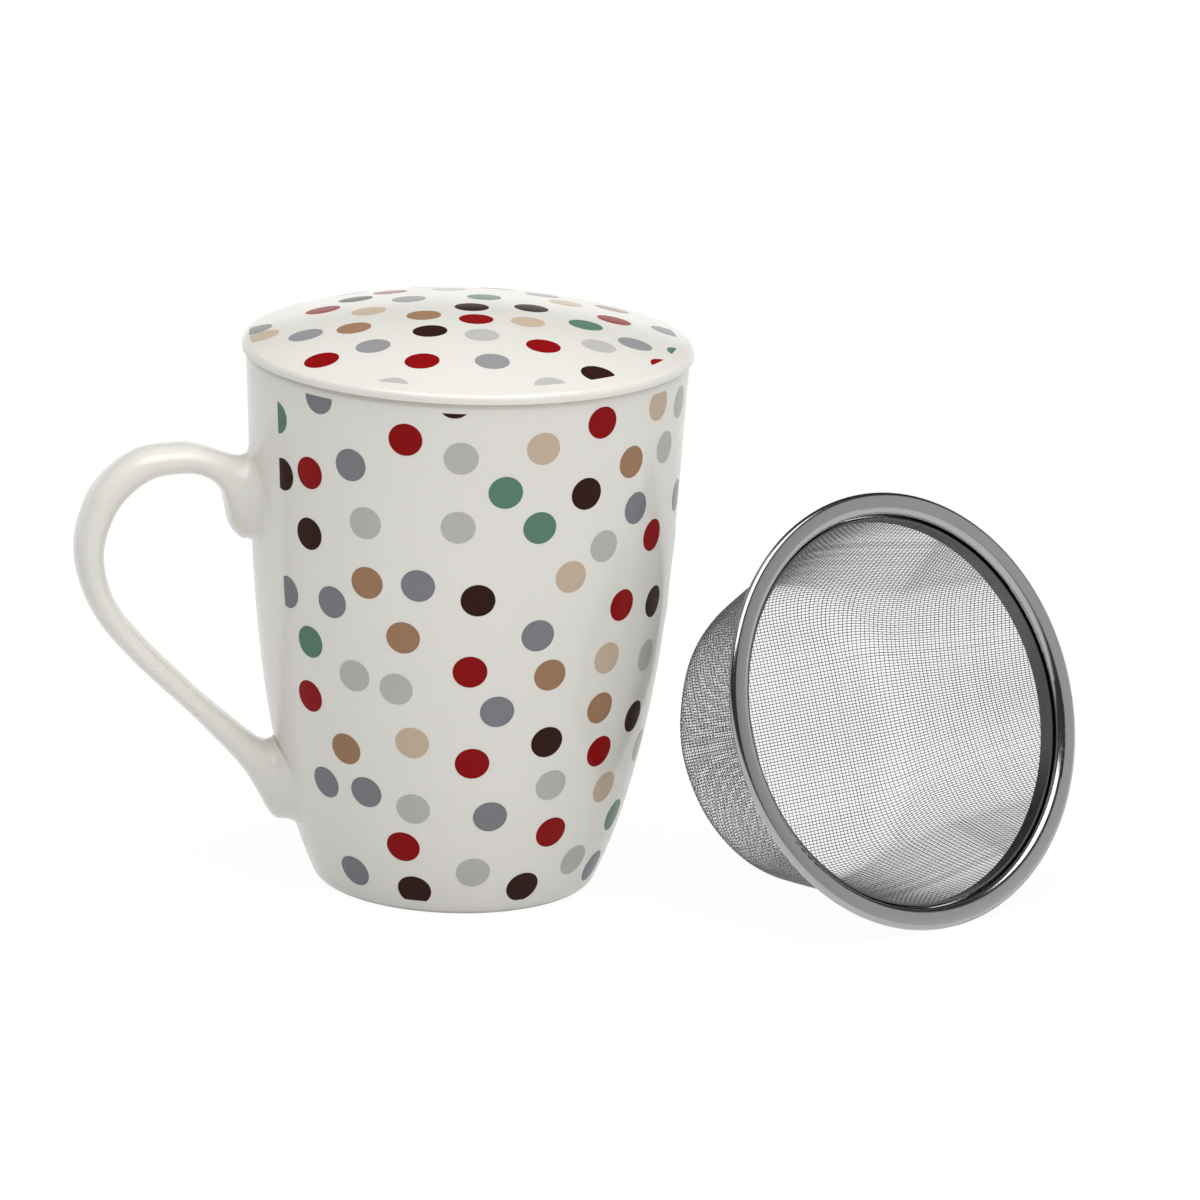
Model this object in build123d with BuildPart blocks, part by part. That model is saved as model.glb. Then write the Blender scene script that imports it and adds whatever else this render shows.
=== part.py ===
from build123d import *

import os
from math import asin, atan2, cos, hypot, radians, sin

os.makedirs("parts", exist_ok=True)

# A porcelain tea mug with a loose lid and a loose stainless tea strainer.
# Millimetres, +Z up. The origin is the centre of the mug's foot, on the table.
# The handle points along -X. The strainer lies on its side on the table, towards +X.

# ---------------------------------------------------------------- driving sizes

# Mug: outside radius of the wall at a few heights, from the foot to the mouth.
mug_height = 105.0
mouth_radius = 42.5
shoulder_height = 75.0
shoulder_radius = 41.0
waist_height = 45.0
waist_radius = 38.5
belly_height = 23.0
belly_radius = 34.5
heel_height = 10.0
heel_radius = 30.8
base_radius = 26.7
wall_thickness = 3.2
floor_thickness = 5.0
floor_corner_radius = 9.0
lip_rounding = 1.2
foot_edge_rounding = 3.0
foot_ring_width = 4.0
foot_recess = 1.5
foot_recess_rounding = 0.7

# Handle: a rounded strap that leaves the wall, loops over and runs back down to it.
grip_width = 11.0
grip_thickness = 5.0
grip_edge_rounding = 2.0
crown_standout = 16.0       # from the wall to the top of the loop
crown_height = 84.5
grip_standout = 32.0        # from the wall to the outermost part of the centre line
grip_height = 65.5
bend_standout = 23.0        # from the wall to the bend into the straight lower run
bend_height = 45.5
upper_root_height = 80.5
lower_root_height = 20.0
root_embedding = 4.0        # how far the strap is drawn on inside the wall
upper_root_rise = 0.25      # slope of the strap where it leaves the wall
upper_pad_width = 12.5
upper_pad_length = 15.0
upper_pad_standout = 5.2
upper_pad_rounding = 3.0
upper_pad_front_rounding = 2.7
upper_pad_drop = 3.8        # from the strap's centre line down to the middle of the pad
lower_flare_length = 17.0
lower_flare_thickness = 12.5
lower_flare_width = 12.5
lower_flare_rounding = 4.0

# Lid: a shallow dome with a rounded edge, and a ring underneath that centres it.
lid_overhang = 0.7
lid_edge_height = 1.5
lid_rise = 8.3
lid_thickness = 3.6
lid_top_rounding = 1.3
lid_bottom_rounding = 0.6
spigot_depth = 5.0
spigot_thickness = 3.0
spigot_clearance = 0.6
spigot_rounding = 1.0

# Strainer: a pressed rim, a woven basket inside its neck and a band that clamps it.
rim_inset = 0.05            # the rim ends this far inside the mug's outer edge
neck_clearance = 0.65       # between the rim's neck and the inside of the mouth
sheet_thickness = 0.5
neck_rounding = 1.4
neck_margin = 0.2           # the neck ends this far below the band
rim_roll_radius = 0.85
cloth_thickness = 0.4
cloth_clearance = 0.05
band_thickness = 0.4
band_height = 3.2
band_drop = 1.6
basket_depth = 37.7
basket_floor_radius = 28.0
basket_corner_radius = 7.0

# Openings through the basket: a grid in the floor, and rows all the way round the wall.
floor_opening = 3.6
floor_opening_pitch = 5.0
wall_opening_width = 5.4
wall_opening_height = 5.0
wall_opening_pitch = 6.6
wall_opening_count = 24
opening_margin = 0.5        # between the openings and the basket's bends

# Where the strainer lies: the middle of its mouth seen from above, and its heading.
strainer_x = 82.5
strainer_y = -28.5
strainer_heading = -61.3    # degrees from +X, the way that its mouth faces

# ---------------------------------------------------------------- mug body

wall_stations = [
    (base_radius, 0),
    (heel_radius, heel_height),
    (belly_radius, belly_height),
    (waist_radius, waist_height),
    (shoulder_radius, shoulder_height),
    (mouth_radius, mug_height),
]


def wall_radius(height):
    """Return the mug's outside radius near one height, read between the stations."""
    for (low_radius, low), (high_radius, high) in zip(wall_stations, wall_stations[1:]):
        if height <= high:
            break
    share = (height - low) / (high - low)
    return low_radius + share * (high_radius - low_radius)


def draw_half_section(inset):
    """Draw the outline of half the mug, moved in from the outside of its wall by inset."""
    Spline(*[(radius - inset, height) for radius, height in wall_stations])
    mouth_edge = (mouth_radius - inset, mug_height)
    base_edge = (base_radius - inset, 0)
    Polyline(mouth_edge, (0, mug_height), (0, 0), base_edge)


# The mug as if it were solid: the handle and the body are both cut to it.
with BuildPart() as mug_envelope:
    with BuildSketch(Plane.XZ):
        with BuildLine():
            draw_half_section(0)
        make_face()
    revolve(axis=Axis.Z)

# The space that holds the tea.
with BuildPart() as tea_space:
    with BuildSketch(Plane.XZ):
        with BuildLine():
            draw_half_section(wall_thickness)
        make_face()
    revolve(axis=Axis.Z)
    split(bisect_by=Plane.XY.offset(foot_recess + floor_thickness), keep=Keep.TOP)
    floor_face = tea_space.faces().sort_by(Axis.Z)[0]
    fillet(floor_face.edges(), floor_corner_radius)

with BuildPart() as mug_body:
    add(mug_envelope.part)
    foot_face = mug_body.faces().sort_by(Axis.Z)[0]
    fillet(foot_face.edges(), foot_edge_rounding)
    add(tea_space.part, mode=Mode.SUBTRACT)
    lip_face = mug_body.faces().sort_by(Axis.Z)[-1]
    fillet(lip_face.edges(), min(lip_rounding, 0.4 * wall_thickness))
    with BuildSketch(Plane.XY):
        Circle(base_radius - foot_edge_rounding - foot_ring_width)
    extrude(amount=foot_recess, mode=Mode.SUBTRACT)
    foot_ring = mug_body.faces().sort_by(Axis.Z)[0]
    recess_edge = foot_ring.edges().sort_by(SortBy.LENGTH)[0]
    fillet(recess_edge, min(foot_recess_rounding, 0.4 * foot_ring_width))

mug_body.part.label = "mug_body"
export_step(mug_body.part, "parts/mug_body.step")

# ---------------------------------------------------------------- handle

# The handle's plane holds the mug's axis: x runs out from the axis, y runs up.
handle_plane = Plane(origin=(0, 0, 0), x_dir=(-1, 0, 0), z_dir=(0, 1, 0))
across_handle = (0, 1, 0)

upper_root = (wall_radius(upper_root_height) - root_embedding, upper_root_height)
crown = (wall_radius(crown_height) + crown_standout, crown_height)
outermost = (wall_radius(grip_height) + grip_standout, grip_height)
bend = (wall_radius(bend_height) + bend_standout, bend_height)
lower_root = (wall_radius(lower_root_height), lower_root_height)

run = Vector(*lower_root) - Vector(*bend)
run_direction = run.normalized()
run_end = Vector(*lower_root) + run_direction * root_embedding
flare_start = Vector(*lower_root) - run_direction * lower_flare_length

grip_rounding = min(grip_edge_rounding, 0.45 * grip_thickness)
pad_height = upper_root_height - upper_pad_drop
pad_face = wall_radius(pad_height) + upper_pad_standout


def section_plane(point, direction):
    """Return the plane of a strap section at a point of the handle's plane."""
    origin = handle_plane.from_local_coords(point)
    normal = handle_plane.from_local_coords(direction)
    return Plane(origin=origin, x_dir=across_handle, z_dir=normal)


# The upper root sits on a rounded pad, which reaches down the wall.
with BuildPart() as upper_pad:
    with BuildSketch(Plane(origin=(-pad_face, 0, pad_height), x_dir=across_handle, z_dir=(1, 0, 0))):
        RectangleRounded(upper_pad_width, upper_pad_length, upper_pad_rounding)
    extrude(amount=upper_pad_standout + root_embedding)
    front_face = upper_pad.faces().sort_by(Axis.X)[0]
    fillet(front_face.edges(), min(upper_pad_front_rounding, 0.9 * upper_pad_rounding))

with BuildPart() as handle:
    with BuildLine(handle_plane) as strap_line:
        Spline(upper_root, crown, tangents=((1, upper_root_rise), (1, 0)))
        EllipticalCenterArc(
            center=(crown[0], outermost[1]),
            x_radius=outermost[0] - crown[0],
            y_radius=crown[1] - outermost[1],
            start_angle=90,
            arc_size=-90,
        )
        Spline(outermost, bend, tangents=((0, -1), (run_direction.X, run_direction.Y)))
        Line(bend, (flare_start.X, flare_start.Y))
    with BuildSketch(section_plane(upper_root, (1, upper_root_rise))):
        RectangleRounded(grip_width, grip_thickness, grip_rounding)
    sweep(path=strap_line.line)

    # The lower root grows thicker and wider towards the wall.
    with BuildSketch(section_plane(flare_start, run_direction)):
        RectangleRounded(grip_width, grip_thickness, grip_rounding)
    with BuildSketch(section_plane(run_end, run_direction)):
        RectangleRounded(lower_flare_width, lower_flare_thickness, lower_flare_rounding)
    loft()

    add(upper_pad.part)
    add(mug_envelope.part, mode=Mode.SUBTRACT)

handle.part.label = "handle"
export_step(handle.part, "parts/handle.step")

# ---------------------------------------------------------------- strainer sizes

mouth_inner_radius = mouth_radius - wall_thickness
rim_radius = mouth_radius - rim_inset
neck_outer_radius = mouth_inner_radius - neck_clearance
neck_inner_radius = neck_outer_radius - sheet_thickness
neck_depth = band_drop + band_height + neck_margin
cloth_outer_radius = neck_inner_radius - cloth_clearance
band_outer_radius = cloth_outer_radius - cloth_thickness - cloth_clearance
band_inner_radius = band_outer_radius - band_thickness

# ---------------------------------------------------------------- lid

lid_radius = mouth_radius + lid_overhang
lid_top = mug_height + lid_rise
lid_edge_top = mug_height + lid_edge_height
spigot_radius = band_inner_radius - spigot_clearance
spigot_inner_radius = spigot_radius - spigot_thickness
spigot_bottom = mug_height - spigot_depth

with BuildPart() as lid:
    with BuildSketch(Plane.XZ) as dome_section:
        with BuildLine():
            TangentArc((0, lid_top), (lid_radius, lid_edge_top), tangent=(1, 0))
            Polyline((lid_radius, lid_edge_top), (lid_radius, mug_height), (0, mug_height), (0, lid_top))
        make_face()
        lower_corner, upper_corner = dome_section.vertices().group_by(Axis.X)[-1].sort_by(Axis.Y)
        fillet(upper_corner, min(lid_top_rounding, 0.9 * lid_edge_height))
        fillet(lower_corner, min(lid_bottom_rounding, 0.3 * lid_edge_height))
    revolve(axis=Axis.Z)
    with BuildSketch(Plane.XY.offset(mug_height)):
        Circle(spigot_radius)
    extrude(amount=-spigot_depth)
    with BuildSketch(Plane.XZ):
        with BuildLine():
            TangentArc((0, lid_top - lid_thickness), (lid_radius, lid_edge_top - lid_thickness), tangent=(1, 0))
            Polyline(
                (lid_radius, lid_edge_top - lid_thickness),
                (lid_radius, spigot_bottom),
                (0, spigot_bottom),
                (0, lid_top - lid_thickness),
            )
        make_face()
        Rectangle(2 * spigot_inner_radius, 2 * lid_top, mode=Mode.INTERSECT)
    revolve(axis=Axis.Z, mode=Mode.SUBTRACT)
    spigot_face = lid.faces().sort_by(Axis.Z)[0]
    fillet(spigot_face.edges(), min(spigot_rounding, 0.4 * spigot_thickness))

lid.part.label = "lid"
export_step(lid.part, "parts/lid.step")

# ---------------------------------------------------------------- strainer on the table

# The strainer leans until its rim and the corner of its basket both touch the table.
# In a section, both are circles: the roll of the rim and the round of the corner.
basket_slope = atan2(cloth_outer_radius - basket_floor_radius, basket_depth - neck_depth)
corner_wall_radius = basket_floor_radius + basket_corner_radius * sin(basket_slope) / cos(basket_slope)
corner_centre_radius = corner_wall_radius - basket_corner_radius / cos(basket_slope)
roll_centre_radius = rim_radius - rim_roll_radius
centres_apart = roll_centre_radius - corner_centre_radius
centres_along = basket_depth - basket_corner_radius - rim_roll_radius
centres_distance = hypot(centres_apart, centres_along)
rounds_difference = basket_corner_radius - rim_roll_radius
lean = atan2(centres_apart, centres_along) - asin(rounds_difference / centres_distance)

heading = radians(strainer_heading)
mouth_height = roll_centre_radius * cos(lean) + rim_roll_radius * sin(lean) + rim_roll_radius
mouth_centre = Vector(strainer_x, strainer_y, mouth_height)
mouth_normal = Vector(cos(heading) * cos(lean), sin(heading) * cos(lean), sin(lean))
mouth_side = Vector(-sin(heading), cos(heading), 0)

# The plane of the strainer's mouth, and a section plane: there x runs out from its axis
# and y out of its mouth.
mouth_plane = Plane(origin=mouth_centre, x_dir=mouth_side, z_dir=mouth_normal)
strainer_section = Plane(origin=mouth_centre, x_dir=mouth_side, z_dir=mouth_side.cross(mouth_normal))
strainer_axis = Axis(mouth_centre, mouth_normal)

# ---------------------------------------------------------------- strainer rim

with BuildPart() as strainer_rim:
    with BuildSketch(strainer_section):
        with BuildLine():
            Polyline(
                (neck_inner_radius, -neck_rounding),
                (neck_inner_radius, -neck_depth),
                (neck_outer_radius, -neck_depth),
                (neck_outer_radius, -neck_rounding),
            )
            bend_inside = RadiusArc(
                (neck_outer_radius, -neck_rounding),
                (neck_inner_radius + neck_rounding, -sheet_thickness),
                neck_rounding - sheet_thickness,
            )
            Polyline(
                bend_inside @ 1,
                (roll_centre_radius, -sheet_thickness),
                (roll_centre_radius, 0),
                (neck_inner_radius + neck_rounding, 0),
            )
            RadiusArc(
                (neck_inner_radius + neck_rounding, 0),
                (neck_inner_radius, -neck_rounding),
                -neck_rounding,
            )
        make_face()
        with Locations((roll_centre_radius, -rim_roll_radius)):
            Circle(rim_roll_radius)
    revolve(axis=strainer_axis)

strainer_rim.part.label = "strainer_rim"
export_step(strainer_rim.part, "parts/strainer_rim.step")

# ---------------------------------------------------------------- strainer basket

# Whole square openings only, inside the flat of the floor.
floor_reach = corner_centre_radius - opening_margin
floor_count = int(2 * floor_reach / floor_opening_pitch)
floor_spots = [
    spot
    for spot in GridLocations(floor_opening_pitch, floor_opening_pitch, floor_count, floor_count)
    if hypot(
        abs(spot.position.X) + floor_opening / 2,
        abs(spot.position.Y) + floor_opening / 2,
    ) < floor_reach
]

# Whole rows only, between the bend of the corner and the neck.
wall_bottom = basket_depth - basket_corner_radius * (1 - sin(basket_slope)) - opening_margin
wall_rows = int((wall_bottom - neck_depth - opening_margin) / wall_opening_pitch)
row_planes = [mouth_plane.offset(row * wall_opening_pitch - wall_bottom) for row in range(wall_rows)]

with BuildPart() as strainer_basket:
    with BuildSketch(strainer_section) as basket_section:
        with BuildLine():
            Polyline(
                (0, -band_drop),
                (cloth_outer_radius, -band_drop),
                (cloth_outer_radius, -neck_depth),
                (basket_floor_radius, -basket_depth),
                (0, -basket_depth),
                close=True,
            )
        make_face()
        floor_vertices = basket_section.vertices().group_by(Axis.Y)[0]
        fillet(floor_vertices.sort_by(Axis.X)[-1], basket_corner_radius)
    revolve(axis=strainer_axis)
    mouth_face = strainer_basket.faces().sort_by(strainer_axis)[-1]
    offset(amount=-cloth_thickness, openings=mouth_face)
    with BuildSketch(mouth_plane.offset(-basket_depth)):
        with Locations(*floor_spots):
            Rectangle(floor_opening, floor_opening)
    extrude(amount=2 * cloth_thickness, both=True, mode=Mode.SUBTRACT)
    with BuildSketch(*row_planes):
        with PolarLocations(cloth_outer_radius, wall_opening_count):
            Rectangle(cloth_outer_radius, wall_opening_width)
    extrude(amount=wall_opening_height, mode=Mode.SUBTRACT)

strainer_basket.part.label = "strainer_basket"
export_step(strainer_basket.part, "parts/strainer_basket.step")

# ---------------------------------------------------------------- strainer clamping band

with BuildPart() as strainer_band:
    with BuildSketch(strainer_section):
        with BuildLine():
            Polyline(
                (band_inner_radius, -band_drop),
                (band_outer_radius, -band_drop),
                (band_outer_radius, -band_drop - band_height),
                (band_inner_radius, -band_drop - band_height),
                close=True,
            )
        make_face()
    revolve(axis=strainer_axis)

strainer_band.part.label = "strainer_band"
export_step(strainer_band.part, "parts/strainer_band.step")
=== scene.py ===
"""A porcelain tea mug with a loose lid and a loose stainless tea strainer, dressed for rendering."""

from math import asin, atan2, ceil, copysign, cos, hypot, pi, radians, sin, sqrt, tan

import bmesh
import bpy
from bpy.props import FloatProperty, FloatVectorProperty, IntProperty, PointerProperty
from mathutils import Matrix, Vector


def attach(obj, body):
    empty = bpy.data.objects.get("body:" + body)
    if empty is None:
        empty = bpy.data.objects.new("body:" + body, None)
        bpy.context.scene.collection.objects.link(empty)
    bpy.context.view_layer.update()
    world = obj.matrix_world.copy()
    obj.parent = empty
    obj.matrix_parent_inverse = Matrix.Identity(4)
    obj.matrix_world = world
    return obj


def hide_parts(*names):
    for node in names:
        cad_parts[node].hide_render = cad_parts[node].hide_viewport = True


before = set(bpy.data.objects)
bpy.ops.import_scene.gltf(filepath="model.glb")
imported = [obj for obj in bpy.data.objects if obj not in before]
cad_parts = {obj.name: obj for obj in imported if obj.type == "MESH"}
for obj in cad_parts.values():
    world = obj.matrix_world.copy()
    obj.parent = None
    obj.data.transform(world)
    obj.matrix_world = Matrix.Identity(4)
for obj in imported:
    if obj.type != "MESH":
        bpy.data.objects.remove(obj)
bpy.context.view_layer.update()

bl_info = {
    "name": "Tea mug with lid and strainer",
    "version": (1, 0, 0),
    "blender": (4, 5, 0),
    "location": "3D Viewport > Sidebar > Tea Mug",
    "description": "Glazes, prints and dresses a porcelain tea mug with its lid and woven strainer",
    "category": "Add Mesh",
}

MM = 0.001

# ---------------------------------------------------------------- sizes shared with the solids

MUG_HEIGHT = 105.0 * MM
MOUTH_RADIUS = 42.5 * MM
WALL_THICKNESS = 3.2 * MM
RIM_INSET = 0.05 * MM
NECK_CLEARANCE = 0.65 * MM
SHEET_THICKNESS = 0.5 * MM
NECK_MARGIN = 0.2 * MM
RIM_ROLL_RADIUS = 0.85 * MM
CLOTH_THICKNESS = 0.4 * MM
CLOTH_CLEARANCE = 0.05 * MM
BAND_HEIGHT = 3.2 * MM
BAND_DROP = 1.6 * MM
BASKET_DEPTH = 37.7 * MM
BASKET_FLOOR_RADIUS = 28.0 * MM
BASKET_CORNER_RADIUS = 7.0 * MM
STRAINER_PLACE = (82.5 * MM, -28.5 * MM)
STRAINER_HEADING = radians(-61.3)

# ---------------------------------------------------------------- the print

INKS = ("Red", "Brown", "Slate", "Light grey", "Tan", "Beige", "Green", "Mid grey")
RED, BROWN, SLATE, LIGHT, TAN, BEIGE, GREEN, GREY = range(len(INKS))
# Each dot: degrees round the wall from the handle, height in mm, and its ink.
WALL_DOTS = (
    (39, 102.7, SLATE), (22, 96.3, GREEN), (77, 105.2, BROWN), (64.5, 97.3, RED), (79, 94.3, LIGHT),
    (100.4, 96, BEIGE), (117.3, 99.9, RED), (139, 100.7, BEIGE), (153.4, 98.9, LIGHT),
    (35.4, 87.5, RED), (24.4, 85.5, BROWN), (49.1, 90.9, SLATE), (90.8, 87.7, GREEN),
    (113.6, 86.3, BROWN), (128.7, 90.9, TAN), (144.5, 91.5, LIGHT), (131.9, 81.4, SLATE),
    (159, 79.5, SLATE), (53.5, 80, LIGHT), (78.7, 80.8, LIGHT), (35, 75.5, BROWN), (100.4, 80.5, GREEN),
    (120.5, 75.3, LIGHT), (141.1, 74.7, RED), (110.3, 70.2, BEIGE), (54, 68.3, TAN), (68.4, 68.9, SLATE),
    (84.5, 66.5, BROWN), (42.8, 63.1, SLATE), (25.2, 62.4, SLATE), (129.3, 62.5, RED),
    (145.8, 60.7, BROWN), (101.5, 59.1, SLATE), (34.1, 53.9, GREEN), (64.4, 58.3, TAN),
    (125.3, 52.4, BEIGE), (145.6, 49.9, LIGHT), (49.5, 49.2, LIGHT), (62.3, 47.8, LIGHT), (83, 52.2, RED),
    (106, 50.9, TAN), (32.4, 42.7, RED), (91.1, 44.1, SLATE), (125, 42.3, TAN), (143.6, 37.8, BROWN),
    (66.8, 37.1, BEIGE), (45, 33.7, TAN), (107.1, 37.1, BROWN), (84.6, 33.4, RED), (127.8, 33, RED),
    (155.9, 29.7, LIGHT), (35, 25.4, SLATE), (50.9, 25.4, SLATE), (110.5, 27.8, LIGHT),
    (134.4, 24.6, BEIGE), (66.6, 23.2, LIGHT), (91.2, 22.1, SLATE), (147.5, 16.7, GREEN),
    (62.5, 14.8, RED), (113.7, 17.5, RED), (40.7, 7.3, SLATE), (128.1, 9.9, LIGHT), (144.7, 6.3, SLATE),
    (86.9, 9.9, LIGHT), (65.3, 5.3, BROWN), (106.8, 6, BROWN),
)

# Each dot: x and y in mm from the middle of the lid, and its ink.
LID_DOTS = (
    (-11.6, 23.1, RED), (-0.1, 22.7, LIGHT), (4.6, 10, GREEN), (17.7, 19.5, GREY), (-19.1, 17.9, BROWN),
    (-10, 10.4, GREY), (0.5, 0.2, BROWN), (12.2, 0.9, BROWN), (20.7, 10.4, BEIGE), (30.4, 13.6, TAN),
    (-26.4, 11.6, RED), (-18.9, 3.3, BEIGE), (-9.5, -4.3, TAN), (-0.1, -8.4, RED), (9.7, -9.6, BEIGE),
    (21.2, -7.9, GREEN), (28.2, -0.1, RED), (39.0, 0.9, GREY), (-39.9, 8.7, GREY), (-39.5, 2.3, BEIGE),
    (-32.2, -4.9, GREY), (-23.3, -6.8, TAN), (-9.9, -14.1, BROWN), (-0.5, -17.6, LIGHT),
    (-21.4, -18.2, GREY), (10.4, -22.5, RED), (21.6, -19.6, LIGHT), (29.5, -14.9, GREY),
    (-31.4, -19.9, RED), (-13.6, -27.8, RED), (-0.6, -29.8, GREY), (19.1, -32.8, BROWN),
    (34.2, -23.6, RED), (39.2, -14.2, GREEN), (9.2, -39.0, LIGHT), (-20.8, -35.8, LIGHT),
)

# The far sides are filled with scattered dots, between these turns in degrees.
SCATTER_ROUND_WALL = (171, 342)
SCATTER_ON_LID = (28, 152)
SCATTER_ARC_STEP = 4        # degrees between the corners of the region on the lid
SCATTER_DENSITY = 20000.0
LEAST_GAP = 0.85            # how near to a listed dot a scattered one may lie, in spacings
DOT_SIDES = 32
DOT_RINGS = 3
LID_SHEET_SIDES = 160
WALL_SHEET_SIDES = 12
DOT_SINKING = 0.04 * MM     # how deep the underside of a dot lies in the glaze
EDGE_MARGIN = 0.5 * MM      # rays stop this far past the print's edges, before the rounded rims
REFERENCE_RADIUS = 38.5 * MM  # where distances round the wall are measured in the flat layout
FAR = 100.0 * MM            # well outside the mug, where rays start

# ---------------------------------------------------------------- the handle

# In the handle's plane, mm: distance from the mug's axis and height of the strap's outer
# and inner faces, then its width. The upper root spreads down the wall as a rounded pad.
UPPER_ROOT = (
    (41.6, 87.2, 40.6, 67.4, 12.6),
    (42.5, 84.9, 43.2, 68.8, 12.3),
    (44.5, 84.7, 45.4, 71.1, 12.0),
    (46.5, 85.3, 46.3, 74.7, 11.7),
    (48.6, 86.0, 47.1, 78.0, 11.4),
    (51.2, 86.8, 49.3, 80.5, 11.2),
    (54.3, 87.3, 53.0, 81.8, 11.0),
)
LOWER_ROOT = (
    (52.9, 34.5, 50.6, 38.1, 11.0),
    (48.8, 30.3, 45.9, 34.0, 11.0),
    (44.9, 26.2, 41.6, 30.4, 11.1),
    (41.5, 22.1, 39.2, 28.6, 11.3),
    (39.0, 18.0, 37.8, 27.9, 11.6),
    (36.7, 13.9, 36.8, 27.9, 12.0),
    (35.2, 12.6, 36.1, 28.3, 12.4),
    (31.6, 11.4, 35.6, 29.2, 12.6),
)
# Between the roots, mm: distance and height of the strap's middle, and its thickness.
STRAP_LINE = (
    (60.7, 83.9, 5.9), (64.2, 82.2, 6.1), (67.2, 79.7, 6.2), (69.6, 76.6, 6.2), (71.2, 72.9, 6.0),
    (72.2, 69.0, 5.8), (72.3, 65.0, 5.5), (71.5, 60.8, 5.2), (70.1, 57.0, 4.9), (68.1, 53.4, 4.7),
    (65.6, 50.2, 4.6), (61.4, 45.6, 4.5), (56.9, 41.2, 4.4),
)
FOLLOW_LENGTH = 12.0        # mm of the root that bends to the wall
FILLET_LENGTH = 16.0        # mm of the root in which its fillet ends
FILLET_FADING = 1.5         # how fast the fillet fades from the strap's sides to its faces
SECTION_SHARPNESS = 2.45    # 2 is an ellipse, and more is nearer to a rectangle
LEAST_STEP = 0.8            # mm between neighbouring sections of the lists above, at least
ROOT_RINGS = 10             # sections in the fillet at each root

# ---------------------------------------------------------------- the strainer

MOUTH_INNER_RADIUS = MOUTH_RADIUS - WALL_THICKNESS
RIM_RADIUS = MOUTH_RADIUS - RIM_INSET
NECK_INNER_RADIUS = MOUTH_INNER_RADIUS - NECK_CLEARANCE - SHEET_THICKNESS
NECK_DEPTH = BAND_DROP + BAND_HEIGHT + NECK_MARGIN
CLOTH_RADIUS = NECK_INNER_RADIUS - CLOTH_CLEARANCE
WALL_SPREAD = CLOTH_RADIUS - BASKET_FLOOR_RADIUS  # how far the basket's wall leans outward
WALL_DEPTH = BASKET_DEPTH - NECK_DEPTH  # over this depth
WALL_SLOPE = atan2(WALL_SPREAD, WALL_DEPTH)
CLOTH_EDGE_RADIUS = 30.0 * MM  # where the flat cloth starts to shear
GATHERING = 0.6             # 0 is pure shear between stiff wires, and 1 gathers evenly all round
HEM = 1.3 * MM              # how far below the band's upper edge the cloth ends
CORNER_STEPS = 12
SAME = 0.0001 * MM          # lengths that differ by less count as equal
WIRE_SIDES = 4
FOLD_SCALE = 38.0           # folds per metre
FOLD_REACH = 16.0 * MM      # how far they run from the basket's corner
FOLD_SEED = 4.0
CROWN = 300.0               # how round the flange is across its width, per metre

# ---------------------------------------------------------------- the finishes

# Waves per metre of what varies over each surface.
GLAZE_CLOUDS = 28.0
GLAZE_GLOSS = 60.0
ORANGE_PEEL = 420.0
BISCUIT_GRAIN = 2600.0
INK_SPECKLE = 3200.0
WIRE_PATCHES = 90.0
STEEL_PATCHES = 70.0
TURNING_LINES = 9000.0
# The darker and the lighter tone of each colour, as shares of it.
GLAZE_TONES = (0.975, 1.0)
BISCUIT_TONES = (0.9, 1.05)
INK_TONES = (0.98, 1.02)
WIRE_TONES = (0.9, 1.05)
STEEL_TONES = (0.94, 1.04)
# How far the roughness strays from its setting, and what the turning lines add to it.
GLAZE_STRAYING = (-0.02, 0.03)
STEEL_STRAYING = (0.0, 0.06)
LINE_ROUGHNESS = 0.04
BISCUIT_ROUGHNESS = 0.75
INK_ROUGHNESS = (0.14, 0.19)
WIRE_ROUGHNESS = (0.32, 0.45)
GLAZE_IOR = 1.5
INK_IOR = 1.15              # low, so that the ink keeps its colour where it is seen at a slant
WIRE_METALNESS = 0.55       # drawn wire is duller than polished sheet

# ---------------------------------------------------------------- the stage

CAMERA_DISTANCE = 1.45276   # from the mug's axis, level
CAMERA_HEIGHT = 0.461637
CAMERA_BEARING = radians(-10.0)
CAMERA_YAW = radians(1.05568)
CAMERA_PITCH = radians(15.59631)
CAMERA_ROLL = radians(1.89857)
LENS = 234.667              # mm
SENSOR_WIDTH = 36.0         # mm
WHITE = (1.0, 1.0, 1.0, 1.0)
TABLE_SIZE = 6.0
TABLE_TONE = 0.9
TABLE_ROUGHNESS = 0.12
TABLE_GLOW = 1.035          # the table mostly glows like the background
TABLE_GLOW_SHARE = 0.92     # and the rest of it is lit and shaded by the room
# Each light: its place, and its width and height, in metres.
MAIN_LIGHT = ((-0.05, -0.3, 1.3), (1.3, 1.3))
SIDE_LIGHT = ((0.8, -1.1, 0.55), (0.7, 0.9))
LIGHT_TARGET = (0.02, 0.0, 0.05)
# The white sweep fades out between these turns up from the ground, and the grey card between
# these turns off its middle.
SWEEP_TOP = (radians(6), radians(15))
CARD_EDGE = (radians(8), radians(34))
CARD_DIRECTION = (0.955, -0.152, 0.253)


# ---------------------------------------------------------------- settings


def length_setting(precision=4, **words):
    """Return a setting that holds a length."""
    return FloatProperty(unit="LENGTH", precision=precision, **words)


def colour_setting(**words):
    """Return a setting that holds a colour."""
    return FloatVectorProperty(subtype="COLOR", size=3, min=0, max=1, **words)


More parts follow.
